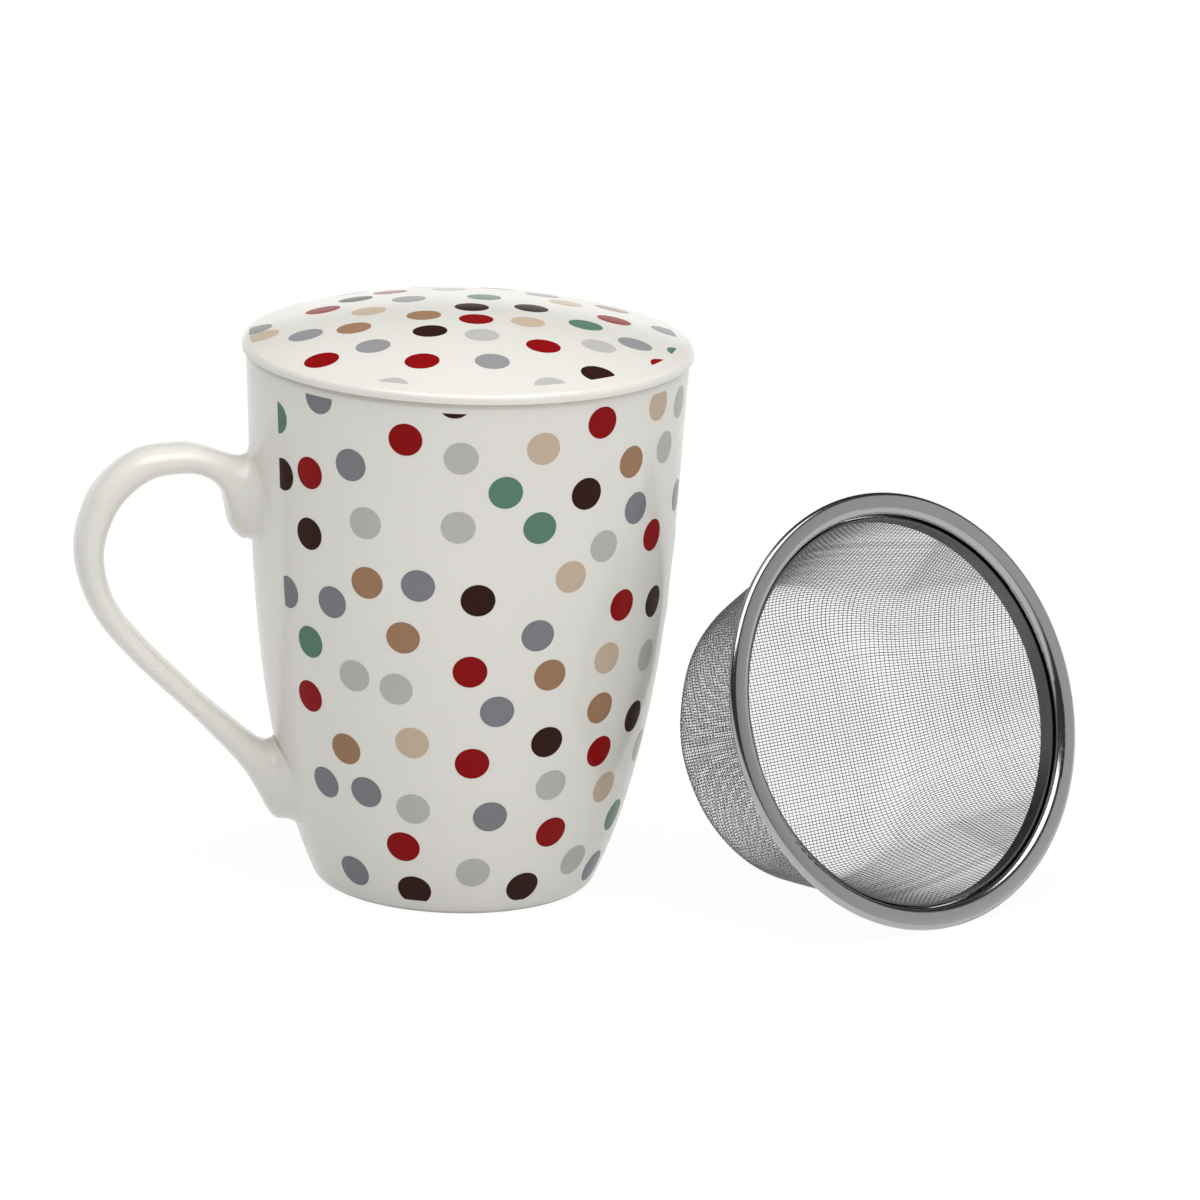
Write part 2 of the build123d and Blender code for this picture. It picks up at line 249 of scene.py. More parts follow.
class GlazeSettings(bpy.types.PropertyGroup):
    """The porcelain of the mug and its lid."""

    colour: colour_setting(
        name="Glaze", description="Colour of the glazed porcelain", default=(0.78, 0.765, 0.71)
    )
    biscuit: colour_setting(
        name="Bare foot", description="Colour of the unglazed porcelain under the foot",
        default=(0.70, 0.68, 0.62),
    )
    roughness: FloatProperty(
        name="Roughness", description="How matt the glaze is", subtype="FACTOR", min=0, max=1, default=0.2
    )
    foot_height: length_setting(
        name="Glaze stops at", description="Height above the table where the glaze ends", default=0.0009,
        precision=5,
    )


class PrintSettings(bpy.types.PropertyGroup):
    """The printed dots and their inks."""

    dot_width: length_setting(
        name="Dot width", description="Width of a printed dot", default=0.0066, precision=5
    )
    dot_height: length_setting(
        name="Dot height", description="Height of a printed dot", default=0.00625, precision=5
    )
    film: length_setting(
        name="Film", description="How far the ink stands proud of the glaze", default=0.00004, precision=6
    )
    sheet_bottom: length_setting(
        name="Bottom of the print", description="Height of the printed sheet's lower edge", default=0.003
    )
    sheet_top: length_setting(
        name="Top of the print", description="Height of the printed sheet's upper edge", default=0.103
    )
    handle_gap: length_setting(
        name="Gap at the handle", description="Bare width round the handle's roots", default=0.032
    )
    lid_print_radius: length_setting(
        name="Radius on the lid", description="Where the print on the lid ends", default=0.041
    )
    lid_print_centre: FloatVectorProperty(
        name="Centre on the lid", description="Middle of the print on the lid, a little off its axis",
        subtype="TRANSLATION", size=3, precision=4, default=(-0.0007, 0.0014, MUG_HEIGHT),
    )
    spacing: length_setting(
        name="Spacing", description="Least distance between the scattered dots", default=0.0108
    )
    seed: IntProperty(name="Seed", description="Seed of the scattered dots", default=7)
    red: colour_setting(name="Red", description="Red ink", default=(0.255, 0.004, 0.005))
    brown: colour_setting(name="Brown", description="Dark brown ink", default=(0.032, 0.011, 0.008))
    slate: colour_setting(name="Slate", description="Slate grey ink", default=(0.212, 0.213, 0.232))
    light_grey: colour_setting(
        name="Light grey", description="Light grey ink", default=(0.485, 0.475, 0.445)
    )
    tan: colour_setting(name="Tan", description="Tan ink", default=(0.34, 0.195, 0.112))
    beige: colour_setting(name="Beige", description="Beige ink", default=(0.555, 0.445, 0.33))
    green: colour_setting(name="Green", description="Green ink", default=(0.105, 0.215, 0.15))
    mid_grey: colour_setting(name="Mid grey", description="Mid grey ink", default=(0.29, 0.287, 0.295))


class HandleSettings(bpy.types.PropertyGroup):
    """The handle's strap and how it grows out of the wall."""

    strap_width: length_setting(name="Width", description="Width of the strap", default=0.011)
    sinking: length_setting(
        name="Sinking", description="How far the roots end inside the wall", default=0.0003, precision=5
    )
    fillet: length_setting(
        name="Fillet", description="Radius of the hollow fillet between the wall and the strap's sides",
        default=0.0062,
    )
    blend: length_setting(
        name="Blend", description="How near to the wall the glaze hides the joint", default=0.0006
    )
    ring_spacing: length_setting(
        name="Section spacing", description="Distance between sections along the strap", min=0.0003,
        default=0.0011,
    )
    sides: IntProperty(name="Sides", description="Points round one section", min=16, default=56)


class StrainerSettings(bpy.types.PropertyGroup):
    """The strainer's wire cloth and its steel."""

    wire: length_setting(name="Wire", description="Diameter of the wire", default=0.00015, precision=5)
    row_pitch: length_setting(
        name="Row pitch", description="Distance between the wires that run across", default=0.00062,
        precision=5,
    )
    column_pitch: length_setting(
        name="Column pitch", description="Distance between the wires that run up", default=0.00090,
        precision=5,
    )
    fold_depth: length_setting(
        name="Folds", description="How far the cloth bulges round the basket's corner", default=0.0007,
        precision=5,
    )
    steel: colour_setting(
        name="Steel", description="Colour of the stainless steel", default=(0.42, 0.42, 0.42)
    )
    wire_colour: colour_setting(
        name="Wire colour", description="Colour of the drawn wire", default=(0.24, 0.24, 0.24)
    )


class StageSettings(bpy.types.PropertyGroup):
    """The lights, and what polished steel mirrors."""

    key_power: FloatProperty(
        name="Main light", description="Power of the large soft light", unit="POWER", default=16.5
    )
    fill_power: FloatProperty(
        name="Side light", description="Power of the light on the right", unit="POWER", default=3.0
    )
    ambient: FloatProperty(
        name="Room light", description="Brightness of the room around the object", default=0.38
    )
    mirrored_room: FloatProperty(
        name="Dark part", description="Brightness that polished steel mirrors from the dark part of the room",
        default=0.05,
    )
    mirrored_card: FloatProperty(
        name="Grey card", description="Brightness that polished steel mirrors from the card on the right",
        default=0.68,
    )


# ---------------------------------------------------------------- helpers for node trees


def add_node(tree, kind, inputs=None, **settings):
    """Add a node, set it up, and give each named or numbered input a value or a socket."""
    node = tree.nodes.new(kind)
    for name, value in settings.items():
        setattr(node, name, value)
    for key, value in (inputs or {}).items():
        feed(tree, node.inputs[key], value)
    return node


def feed(tree, socket, value):
    """Give a socket a value, or link another socket to it."""
    if isinstance(value, bpy.types.NodeSocket):
        tree.links.new(value, socket)
    else:
        socket.default_value = value


def math(tree, operation, *values):
    """Add a Math node and return its result."""
    return add_node(tree, "ShaderNodeMath", dict(enumerate(values)), operation=operation).outputs[0]


def vector_math(tree, operation, *values, scale=None):
    """Add a Vector Math node and return its vector."""
    inputs = dict(enumerate(values))
    if scale is not None:
        inputs["Scale"] = scale
    return add_node(tree, "ShaderNodeVectorMath", inputs, operation=operation).outputs[0]


def vector(tree, x=0.0, y=0.0, z=0.0):
    """Combine three values into a vector."""
    return add_node(tree, "ShaderNodeCombineXYZ", {0: x, 1: y, 2: z}).outputs[0]


def parts_of(tree, value):
    """Return the three parts of a vector."""
    return add_node(tree, "ShaderNodeSeparateXYZ", {0: value}).outputs


def length_of(tree, value):
    """Return the length of a vector."""
    return vector_math(tree, "LENGTH", value).node.outputs["Value"]


def level_part(tree, value):
    """Return a vector without its height."""
    return vector_math(tree, "MULTIPLY", value, (1.0, 1.0, 0.0))


def fade_out(tree, value, full, gone):
    """Fall smoothly from 1 to 0 as a value goes from one limit to the other."""
    return add_node(
        tree, "ShaderNodeMapRange", {0: value, 1: full, 2: gone, 3: 1.0, 4: 0.0},
        interpolation_type="SMOOTHSTEP",
    ).outputs[0]


def new_tree(name, sockets):
    """Start a Geometry Nodes tree with named inputs, given as a name and a kind each."""
    tree = bpy.data.node_groups.new(name, "GeometryNodeTree")
    for label, kind in {"Geometry": "Geometry", **sockets}.items():
        tree.interface.new_socket(label, in_out="INPUT", socket_type="NodeSocket" + kind)
    tree.interface.new_socket("Geometry", in_out="OUTPUT", socket_type="NodeSocketGeometry")
    return tree, tree.nodes.new("NodeGroupInput").outputs


def position_in(tree):
    """Return the position of each point."""
    return tree.nodes.new("GeometryNodeInputPosition").outputs[0]


def shape_of(tree, piece):
    """Return the shape of an object that is an input of the tree."""
    node = add_node(tree, "GeometryNodeObjectInfo", {"Object": piece}, transform_space="RELATIVE")
    return node.outputs["Geometry"]


def object_place(tree):
    """Return the place of each point in its object's own frame."""
    return tree.nodes.new("ShaderNodeTexCoord").outputs["Object"]


def store(tree, geometry, name, value, data_type, domain="POINT"):
    """Store a value in the geometry under a name."""
    return add_node(
        tree, "GeometryNodeStoreNamedAttribute", {"Geometry": geometry, "Name": name, "Value": value},
        data_type=data_type, domain=domain,
    ).outputs[0]


def stored(tree, name, data_type):
    """Read back a value that is stored in the geometry."""
    return add_node(tree, "GeometryNodeInputNamedAttribute", {"Name": name}, data_type=data_type).outputs[0]


def without(tree, geometry, selection, domain, mode="ALL"):
    """Delete a selection."""
    return add_node(
        tree, "GeometryNodeDeleteGeometry", {"Geometry": geometry, "Selection": selection},
        domain=domain, mode=mode,
    ).outputs[0]


def shifted(tree, geometry, way):
    """Move a whole shape."""
    return add_node(tree, "GeometryNodeTransform", {"Geometry": geometry, "Translation": way}).outputs[0]


def at_nearest(tree, surface, value, place, data_type):
    """Return a value at the nearest point of a surface."""
    return add_node(
        tree, "GeometryNodeSampleNearestSurface",
        {"Mesh": surface, "Value": value, "Sample Position": place}, data_type=data_type,
    ).outputs[0]


def surface_shading(tree, surface, place):
    """Return the shading normal of the nearest point of a surface."""
    normal = tree.nodes.new("GeometryNodeInputNormal").outputs[0]
    return at_nearest(tree, surface, normal, place, "FLOAT_VECTOR")


def smoothed(tree, geometry):
    """Shade a mesh smooth."""
    return add_node(
        tree, "GeometryNodeSetShadeSmooth", {"Geometry": geometry, "Shade Smooth": True}
    ).outputs[0]


def shade_like(tree, geometry, normal):
    """Shade a smooth mesh with given normals."""
    return add_node(
        tree, "GeometryNodeSetMeshNormal", {"Mesh": smoothed(tree, geometry), "Custom Normal": normal},
        mode="TANGENT_SPACE",
    ).outputs[0]


def end_tree(tree, geometry, material_socket):
    """Finish a tree: realize its instances and set its material."""
    realized = add_node(tree, "GeometryNodeRealizeInstances", {"Geometry": geometry})
    painted = add_node(
        tree, "GeometryNodeSetMaterial", {"Geometry": realized.outputs[0], "Material": material_socket}
    )
    sink = tree.nodes.new("NodeGroupOutput")
    tree.links.new(painted.outputs[0], sink.inputs[0])


def run_tree(name, base_mesh, tree, values):
    """Run a tree on a mesh and return the result as an object with a plain mesh."""
    maker = bpy.data.objects.new(name + "_maker", base_mesh)
    bpy.context.scene.collection.objects.link(maker)
    modifier = maker.modifiers.new("Shape", "NODES")
    modifier.node_group = tree
    for item in tree.interface.items_tree:
        if item.item_type == "SOCKET" and item.in_out == "INPUT" and item.name in values:
            modifier[item.identifier] = values[item.name]
    maker.update_tag()
    evaluated = maker.evaluated_get(bpy.context.evaluated_depsgraph_get())
    mesh = bpy.data.meshes.new_from_object(evaluated)
    bpy.data.objects.remove(maker)
    if not mesh.polygons:
        raise RuntimeError(f"{name}: the tree made nothing")
    return link_piece(name, mesh)


def link_piece(name, mesh):
    """Put a mesh in the scene as a piece."""
    mesh.name = name
    piece = bpy.data.objects.new(name, mesh)
    bpy.context.scene.collection.objects.link(piece)
    return piece


def new_material(name):
    """Start a material and return it with its tree and its main shader."""
    material = bpy.data.materials.new(name)
    material.use_nodes = True
    tree = material.node_tree
    return material, tree, tree.nodes["Principled BSDF"]


def set_slots(name, material):
    """Give a solid of the frame a new material in every slot."""
    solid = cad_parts[name]
    if not solid.material_slots:
        solid.data.materials.append(material)
    for slot in solid.material_slots:
        slot.material = material


def noise(tree, place, scale, detail=2.0):
    """Add a noise at a number of waves per metre and return its value."""
    return add_node(
        tree, "ShaderNodeTexNoise", {"Vector": place, "Scale": scale, "Detail": detail, "Roughness": 0.5}
    ).outputs[0]


def span(tree, value, low, high, to_low, to_high):
    """Map a value from one range onto another, kept inside it."""
    return add_node(
        tree, "ShaderNodeMapRange", {0: value, 1: low, 2: high, 3: to_low, 4: to_high}
    ).outputs[0]


def varied(tree, noise_value, low, high, reach=0.2):
    """Spread a noise, whose values lie within a reach of 0.5, between two limits."""
    return span(tree, noise_value, 0.5 - reach, 0.5 + reach, low, high)


def blend_colours(tree, share, first, second):
    """Mix two colours."""
    return add_node(tree, "ShaderNodeMix", {0: share, 6: first, 7: second}, data_type="RGBA").outputs[2]


def four(colour, factor=1.0):
    """Return a colour with alpha, made lighter or darker by a factor."""
    return (colour[0] * factor, colour[1] * factor, colour[2] * factor, 1.0)


def mottled(tree, share, colour, tones):
    """Vary a colour between its darker and its lighter tone."""
    return blend_colours(tree, share, four(colour, tones[0]), four(colour, tones[1]))


# ---------------------------------------------------------------- porcelain


def glaze_material(settings):
    """Warm white glaze with faint clouding, a fine orange-peel skin and a bare foot ring."""
    material, tree, shader = new_material("porcelain_glaze")
    place = object_place(tree)
    cloud = varied(tree, noise(tree, place, GLAZE_CLOUDS, detail=3.0), 0, 1, reach=0.15)
    glaze = mottled(tree, cloud, settings.colour, GLAZE_TONES)
    biscuit = mottled(tree, noise(tree, place, BISCUIT_GRAIN), settings.biscuit, BISCUIT_TONES)
    bare = math(tree, "LESS_THAN", parts_of(tree, place)[2], settings.foot_height)
    feed(tree, shader.inputs["Base Color"], blend_colours(tree, bare, glaze, biscuit))
    gloss = noise(tree, place, GLAZE_GLOSS)
    gloss = varied(tree, gloss, *(settings.roughness + step for step in GLAZE_STRAYING))
    matt = math(tree, "MULTIPLY", bare, BISCUIT_ROUGHNESS)
    feed(tree, shader.inputs["Roughness"], math(tree, "MAXIMUM", gloss, matt))
    skin = add_node(
        tree, "ShaderNodeBump",
        {"Strength": 0.04, "Distance": 0.0003, "Height": noise(tree, place, ORANGE_PEEL, detail=1.0)},
    )
    feed(tree, shader.inputs["Normal"], skin.outputs[0])
    shader.inputs["IOR"].default_value = GLAZE_IOR
    return material


class TEAMUG_OT_glaze_porcelain(bpy.types.Operator):
    """Glaze the mug's body and its lid"""

    bl_idname = "teamug.glaze_porcelain"
    bl_label = "Glaze the Porcelain"

    def execute(self, context):
        glaze = glaze_material(context.scene.tea_mug_glaze)
        set_slots("mug_body", glaze)
        set_slots("lid", glaze)
        return {"FINISHED"}


# ---------------------------------------------------------------- handle


def strap_stations(settings):
    """Return the strap's sections from root to root: outer point, inner point and width, in mm."""
    width = settings.strap_width / MM
    stations = [(Vector(s[:2]), Vector(s[2:4]), s[4]) for s in UPPER_ROOT]
    line = [Vector(point[:2]) for point in STRAP_LINE]
    for index, point in enumerate(line):
        before = line[max(index - 1, 0)]
        after = line[min(index + 1, len(line) - 1)]
        ahead = (after - before).normalized()
        outward = Vector((-ahead.y, ahead.x)) * STRAP_LINE[index][2] / 2
        stations.append((point + outward, point - outward, width))
    stations += [(Vector(s[:2]), Vector(s[2:4]), s[4]) for s in LOWER_ROOT]
    return stations


def smooth_between(values, knots, place):
    """Read a smooth curve through values at knots (Catmull-Rom), at one place along them."""
    index = 0
    while index < len(knots) - 2 and place > knots[index + 1]:
        index += 1
    gap = knots[index + 1] - knots[index]
    share = (place - knots[index]) / gap

    def slope(i):
        """Return how steeply the curve passes a knot, for an interval of this length."""
        low, high = max(i - 1, 0), min(i + 1, len(values) - 1)
        return (values[high] - values[low]) / (knots[high] - knots[low]) * gap

    s2, s3 = share * share, share**3
    return (
        values[index] * (2 * s3 - 3 * s2 + 1)
        + slope(index) * (s3 - 2 * s2 + share)
        + values[index + 1] * (3 * s2 - 2 * s3)
        + slope(index + 1) * (s3 - s2)
    )


def ring_places(knots, spacing):
    """Return the sections as pairs of interval and share of it, closer together at the roots."""
    last = len(knots) - 2
    places = [(0, 0.0)]
    for interval in range(last + 1):
        gap = knots[interval + 1] - knots[interval]
        count = ROOT_RINGS if interval in (0, last) else ceil(gap / spacing)
        places += [(interval, step / count) for step in range(1, count + 1)]
    return places


def root_section(rows, interval, share):
    """Return a section in the hollow fillet between the wall and the strap: a quarter of an ellipse."""
    at_wall, on_strap = (rows[0], rows[1]) if interval == 0 else (rows[-1], rows[-2])
    angle = pi / 2 * (share if interval == 0 else 1 - share)
    off_wall, along_wall = 1 - cos(angle), sin(angle)
    blends = (off_wall, along_wall, off_wall, along_wall, along_wall)
    return [start + (end - start) * blend for start, end, blend in zip(at_wall, on_strap, blends)]


def fillet_width(radius, gap):
    """Return how far a hollow fillet reaches sideways at a gap from the wall."""
    left = radius - min(max(gap, 0.0), radius)
    return radius - sqrt(radius**2 - left**2)


def wall_radius(wall, height):
    """Read the mug's outer radius at a height, all in mm."""
    start = Vector((-FAR, 0.0, height * MM))
    met, place, _, _ = wall.ray_cast(start, Vector((1.0, 0.0, 0.0)))
    if not met:
        raise RuntimeError(f"no wall at a height of {height} mm")
    return -place.x / MM


def rounded(value):
    """Swell a sine or cosine, so that a section is nearer to a rectangle than an ellipse is."""
    return copysign(abs(value) ** (2 / SECTION_SHARPNESS), value)


def add_ring(grid, wall, settings, section, near):
    """Add the points of one section, which lies a distance from the nearer end of the strap."""
    outer_r, outer_z, inner_r, inner_z, width = section
    middle = Vector(((outer_r + inner_r) / 2, (outer_z + inner_z) / 2))
    reach = Vector(((outer_r - inner_r) / 2, (outer_z - inner_z) / 2))
    left = max(0.0, 1 - near / FOLLOW_LENGTH)
    follow = left * left * (3 - 2 * left)
    sink = settings.sinking / MM if near == 0.0 else 0.0
    ring = []
    for side in range(settings.sides):
        angle = 2 * pi * side / settings.sides
        point = middle + reach * rounded(cos(angle))
        half = width / 2
        if near < FILLET_LENGTH:
            gap = point.x - wall_radius(wall, point.y)
            half += fillet_width(settings.fillet / MM, gap) * abs(sin(angle)) ** FILLET_FADING
        across = rounded(sin(angle)) * half
        hidden = point.x - sqrt(max(point.x**2 - follow * across**2, 0.0))
        ring.append(grid.verts.new(((sink + hidden - point.x) * MM, across * MM, point.y * MM)))
    return ring


def handle_mesh(settings, wall):
    """Loft the strap through its sections, with a hollow fillet where it meets the round wall."""
    stations = strap_stations(settings)
    rows = [(*outer, *inner, width) for outer, inner, width in stations]
    columns = list(zip(*rows))
    middles = [(outer + inner) / 2 for outer, inner, _ in stations]
    knots = [0.0]
    for before, after in zip(middles, middles[1:]):
        knots.append(knots[-1] + max((after - before).length, LEAST_STEP))
    grid = bmesh.new()
    rings = []
    for interval, share in ring_places(knots, settings.ring_spacing / MM):
        place = knots[interval] + (knots[interval + 1] - knots[interval]) * share
        if 0 < interval < len(knots) - 2:
            section = [smooth_between(column, knots, place) for column in columns]
        else:
            section = root_section(rows, interval, share)
        rings.append(add_ring(grid, wall, settings, section, min(place, knots[-1] - place)))
    for first, second in zip(rings, rings[1:]):
        for side in range(settings.sides):
            other = (side + 1) % settings.sides
            grid.faces.new((first[side], first[other], second[other], second[side]))
    grid.faces.new(rings[0])
    grid.faces.new(reversed(rings[-1]))
    bmesh.ops.recalc_face_normals(grid, faces=grid.faces)
    mesh = bpy.data.meshes.new("handle_strap")
    grid.to_mesh(mesh)
    grid.free()
    return mesh


def blended_root_tree():
    """Build the tree that shades the strap like the wall where the two meet."""
    tree, given = new_tree(
        "glaze_over_joint", {"Surface": "Object", "Reach": "Float", "Material": "Material"}
    )
    position = position_in(tree)
    own = tree.nodes.new("GeometryNodeInputNormal").outputs[0]
    surface = shape_of(tree, given["Surface"])
    gap = add_node(tree, "GeometryNodeProximity", {0: surface, "Sample Position": position})
    share = fade_out(tree, gap.outputs["Distance"], 0.0, given["Reach"])
    blended = add_node(
        tree, "ShaderNodeMix", {0: share, 4: own, 5: surface_shading(tree, surface, position)},
        data_type="VECTOR",
    ).outputs[1]
    normal = vector_math(tree, "NORMALIZE", blended)
    end_tree(tree, shade_like(tree, given["Geometry"], normal), given["Material"])
    return tree


class TEAMUG_OT_add_handle(bpy.types.Operator):
    """Make the handle with its flared roots"""

    bl_idname = "teamug.add_handle"
    bl_label = "Make the Handle"

    def execute(self, context):
        settings = context.scene.tea_mug_handle
        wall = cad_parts["mug_body"]
        piece = run_tree(
            "handle_strap", handle_mesh(settings, wall), blended_root_tree(),
            {"Surface": wall, "Reach": settings.blend,
             "Material": bpy.data.materials["porcelain_glaze"]},
        )
        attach(piece, "mug")
        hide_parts("handle")
        return {"FINISHED"}


# ---------------------------------------------------------------- printed dots


def ink_material():
    """Printed ink under a clear glaze: the colour stored on each dot, a little uneven."""
    material, tree, shader = new_material("printed_ink")
    place = object_place(tree)
    ink = add_node(tree, "ShaderNodeAttribute", attribute_name="ink").outputs["Color"]
    shade = varied(tree, noise(tree, place, INK_SPECKLE), *INK_TONES)
    speckled = add_node(
        tree, "ShaderNodeMix", {0: 1.0, 6: ink, 7: vector(tree, shade, shade, shade)}, data_type="RGBA",
        blend_type="MULTIPLY",
    )
    feed(tree, shader.inputs["Base Color"], speckled.outputs[2])
    gloss = varied(tree, noise(tree, place, GLAZE_GLOSS), *INK_ROUGHNESS)
    feed(tree, shader.inputs["Roughness"], gloss)
    shader.inputs["IOR"].default_value = INK_IOR
    return material


def pick_ink(tree, index, sockets):
    """Choose one of the inks by its number."""
    switch = add_node(tree, "GeometryNodeIndexSwitch", data_type="RGBA")
    while len(switch.index_switch_items) < len(INKS):
        switch.index_switch_items.new()
    feed(tree, switch.inputs["Index"], index)
    for number, label in enumerate(INKS):
        feed(tree, switch.inputs[number + 1], sockets[label])
    return switch.outputs[0]


def hit_by_ray(tree, surface, start, way):
    """Return the parts of the places where rays meet a surface."""
    hit = add_node(
        tree, "GeometryNodeRaycast",
        {"Target Geometry": surface, "Source Position": start, "Ray Direction": way, "Ray Length": 1.0},
    )
    return parts_of(tree, hit.outputs["Hit Position"])


def place_on_lid(tree, given, surface, place):
    """Send rays down to the lid from places in the flat layout, which is the lid from above."""
    x, y, _ = parts_of(tree, place)
    level = level_part(tree, vector_math(tree, "SUBTRACT", place, given["Print centre"]))
    limit = math(tree, "ADD", given["Print radius"], EDGE_MARGIN)
    inside = math(tree, "MINIMUM", length_of(tree, level), limit)
    start = vector_math(tree, "SCALE", vector_math(tree, "NORMALIZE", level), scale=inside)
    start = vector_math(tree, "ADD", start, given["Print centre"])
    start = vector_math(tree, "ADD", start, (0.0, 0.0, FAR))
    return vector(tree, x, y, hit_by_ray(tree, surface, start, (0.0, 0.0, -1.0))[2])


def place_on_wall(tree, given, surface, place):
    """Send level rays to the wall from all round it, for places in the flat layout.

    There, x is a distance round the mug at REFERENCE_RADIUS and y is a height.
    """
    x, y, _ = parts_of(tree, place)
    turn = math(tree, "DIVIDE", x, REFERENCE_RADIUS)
    way = vector(tree, math(tree, "COSINE", turn), math(tree, "SINE", turn))
    height = math(tree, "MINIMUM", y, math(tree, "ADD", given["High edge"], EDGE_MARGIN))
    height = math(tree, "MAXIMUM", height, math(tree, "SUBTRACT", given["Low edge"], EDGE_MARGIN))
    start = vector_math(
        tree, "ADD", vector_math(tree, "SCALE", way, scale=-FAR), vector(tree, z=height)
    )
    met = hit_by_ray(tree, surface, start, way)
    return vector(tree, met[0], met[1], y)


def lid_sheet(tree, given):
    """Return the block that the print on the lid is trimmed to."""
    disc = add_node(
        tree, "GeometryNodeMeshCylinder",
        {"Vertices": LID_SHEET_SIDES, "Radius": given["Print radius"], "Depth": FAR},
    ).outputs[0]
    return shifted(tree, disc, given["Print centre"])


def wall_sheet(tree, given):
    """Return the block that the print round the wall is trimmed to, with a gap at the handle."""
    low, high = given["Low edge"], given["High edge"]
    ring = add_node(
        tree, "GeometryNodeMeshCylinder",
        {"Vertices": WALL_SHEET_SIDES, "Radius": FAR, "Depth": math(tree, "SUBTRACT", high, low)},
    ).outputs[0]
    middle = math(tree, "MULTIPLY", math(tree, "ADD", high, low), 0.5)
    ring = shifted(tree, ring, vector(tree, z=middle))
    box = add_node(tree, "GeometryNodeMeshCube", {"Size": vector(tree, FAR * 2, given["Gap"], FAR * 4)})
    box = shifted(tree, box.outputs[0], (-FAR, 0.0, 0.0))
    return add_node(
        tree, "GeometryNodeMeshBoolean", {"Mesh 1": ring, "Mesh 2": box},
        operation="DIFFERENCE", solver="EXACT",
    ).outputs[0]


def dot_points(tree, given):
    """Return the listed dots, and scattered ones where the list has none, with their inks' numbers."""
    ink_number = stored(tree, "ink_number", "INT")
    listed = add_node(
        tree, "FunctionNodeCompare", {2: ink_number, 3: 0}, data_type="INT", operation="GREATER_EQUAL"
    ).outputs[0]
    loose, region = add_node(
        tree, "GeometryNodeSeparateGeometry", {"Geometry": given["Geometry"], "Selection": listed},
        domain="POINT",
    ).outputs
    listed_points = add_node(tree, "GeometryNodeMeshToPoints", {"Mesh": loose}).outputs[0]
    scattered = add_node(
        tree, "GeometryNodeDistributePointsOnFaces",
        {"Mesh": region, "Distance Min": given["Spacing"], "Density Max": SCATTER_DENSITY,
         "Seed": given["Seed"]},
        distribute_method="POISSON",
    ).outputs[0]
    any_ink = add_node(
        tree, "FunctionNodeRandomValue", {4: 0, 5: len(INKS) - 1, "Seed": given["Seed"]}, data_type="INT"
    ).outputs[2]
    nearest_listed = add_node(
        tree, "GeometryNodeProximity", {0: listed_points}, target_element="POINTS"
    ).outputs["Distance"]
    least = math(tree, "MULTIPLY", given["Spacing"], LEAST_GAP)
    crowded = math(tree, "LESS_THAN", nearest_listed, least)
    points = tree.nodes.new("GeometryNodeJoinGeometry")
    for dots in (
        without(tree, store(tree, scattered, "number", any_ink, "INT"), crowded, "POINT"),
        store(tree, listed_points, "number", ink_number, "INT"),
    ):
        tree.links.new(dots, points.inputs[0])
    return points.outputs[0]


def flat_dots(tree, given, stretch):
    """Put a thin round puck on each point, stretched so that its width is right once it is wrapped."""
    puck = add_node(
        tree, "GeometryNodeMeshCylinder",
        {"Vertices": DOT_SIDES, "Fill Segments": DOT_RINGS, "Radius": 0.5, "Depth": 1.0},
        fill_type="TRIANGLE_FAN",
    ).outputs[0]
    size = vector(tree, math(tree, "MULTIPLY", given["Dot width"], stretch), given["Dot height"], MM)
    pucks = add_node(
        tree, "GeometryNodeInstanceOnPoints",
        {"Points": dot_points(tree, given), "Instance": puck, "Scale": size},
    ).outputs[0]
    ink = pick_ink(tree, stored(tree, "number", "INT"), given)
    inked = store(tree, pucks, "ink", ink, "FLOAT_COLOR", "INSTANCE")
    return add_node(tree, "GeometryNodeRealizeInstances", {"Geometry": inked}).outputs[0]


def laid_dots(tree, given, flat, position, on_surface, outward):
    """Lay the flat dots on the surface: the tops just proud of it, the undersides just below it."""
    is_top = math(tree, "GREATER_THAN", parts_of(tree, position)[2], 0.0)
    thickness = math(tree, "ADD", given["Film"], DOT_SINKING)
    lift = math(tree, "SUBTRACT", math(tree, "MULTIPLY", is_top, thickness), DOT_SINKING)
    marked = store(tree, flat, "lift", lift, "FLOAT")
    laid = add_node(tree, "GeometryNodeSetPosition", {"Geometry": marked, "Position": on_surface})
    offset = vector_math(tree, "SCALE", outward, scale=stored(tree, "lift", "FLOAT"))
    return add_node(
        tree, "GeometryNodeSetPosition", {"Geometry": laid.outputs[0], "Offset": offset}
    ).outputs[0]


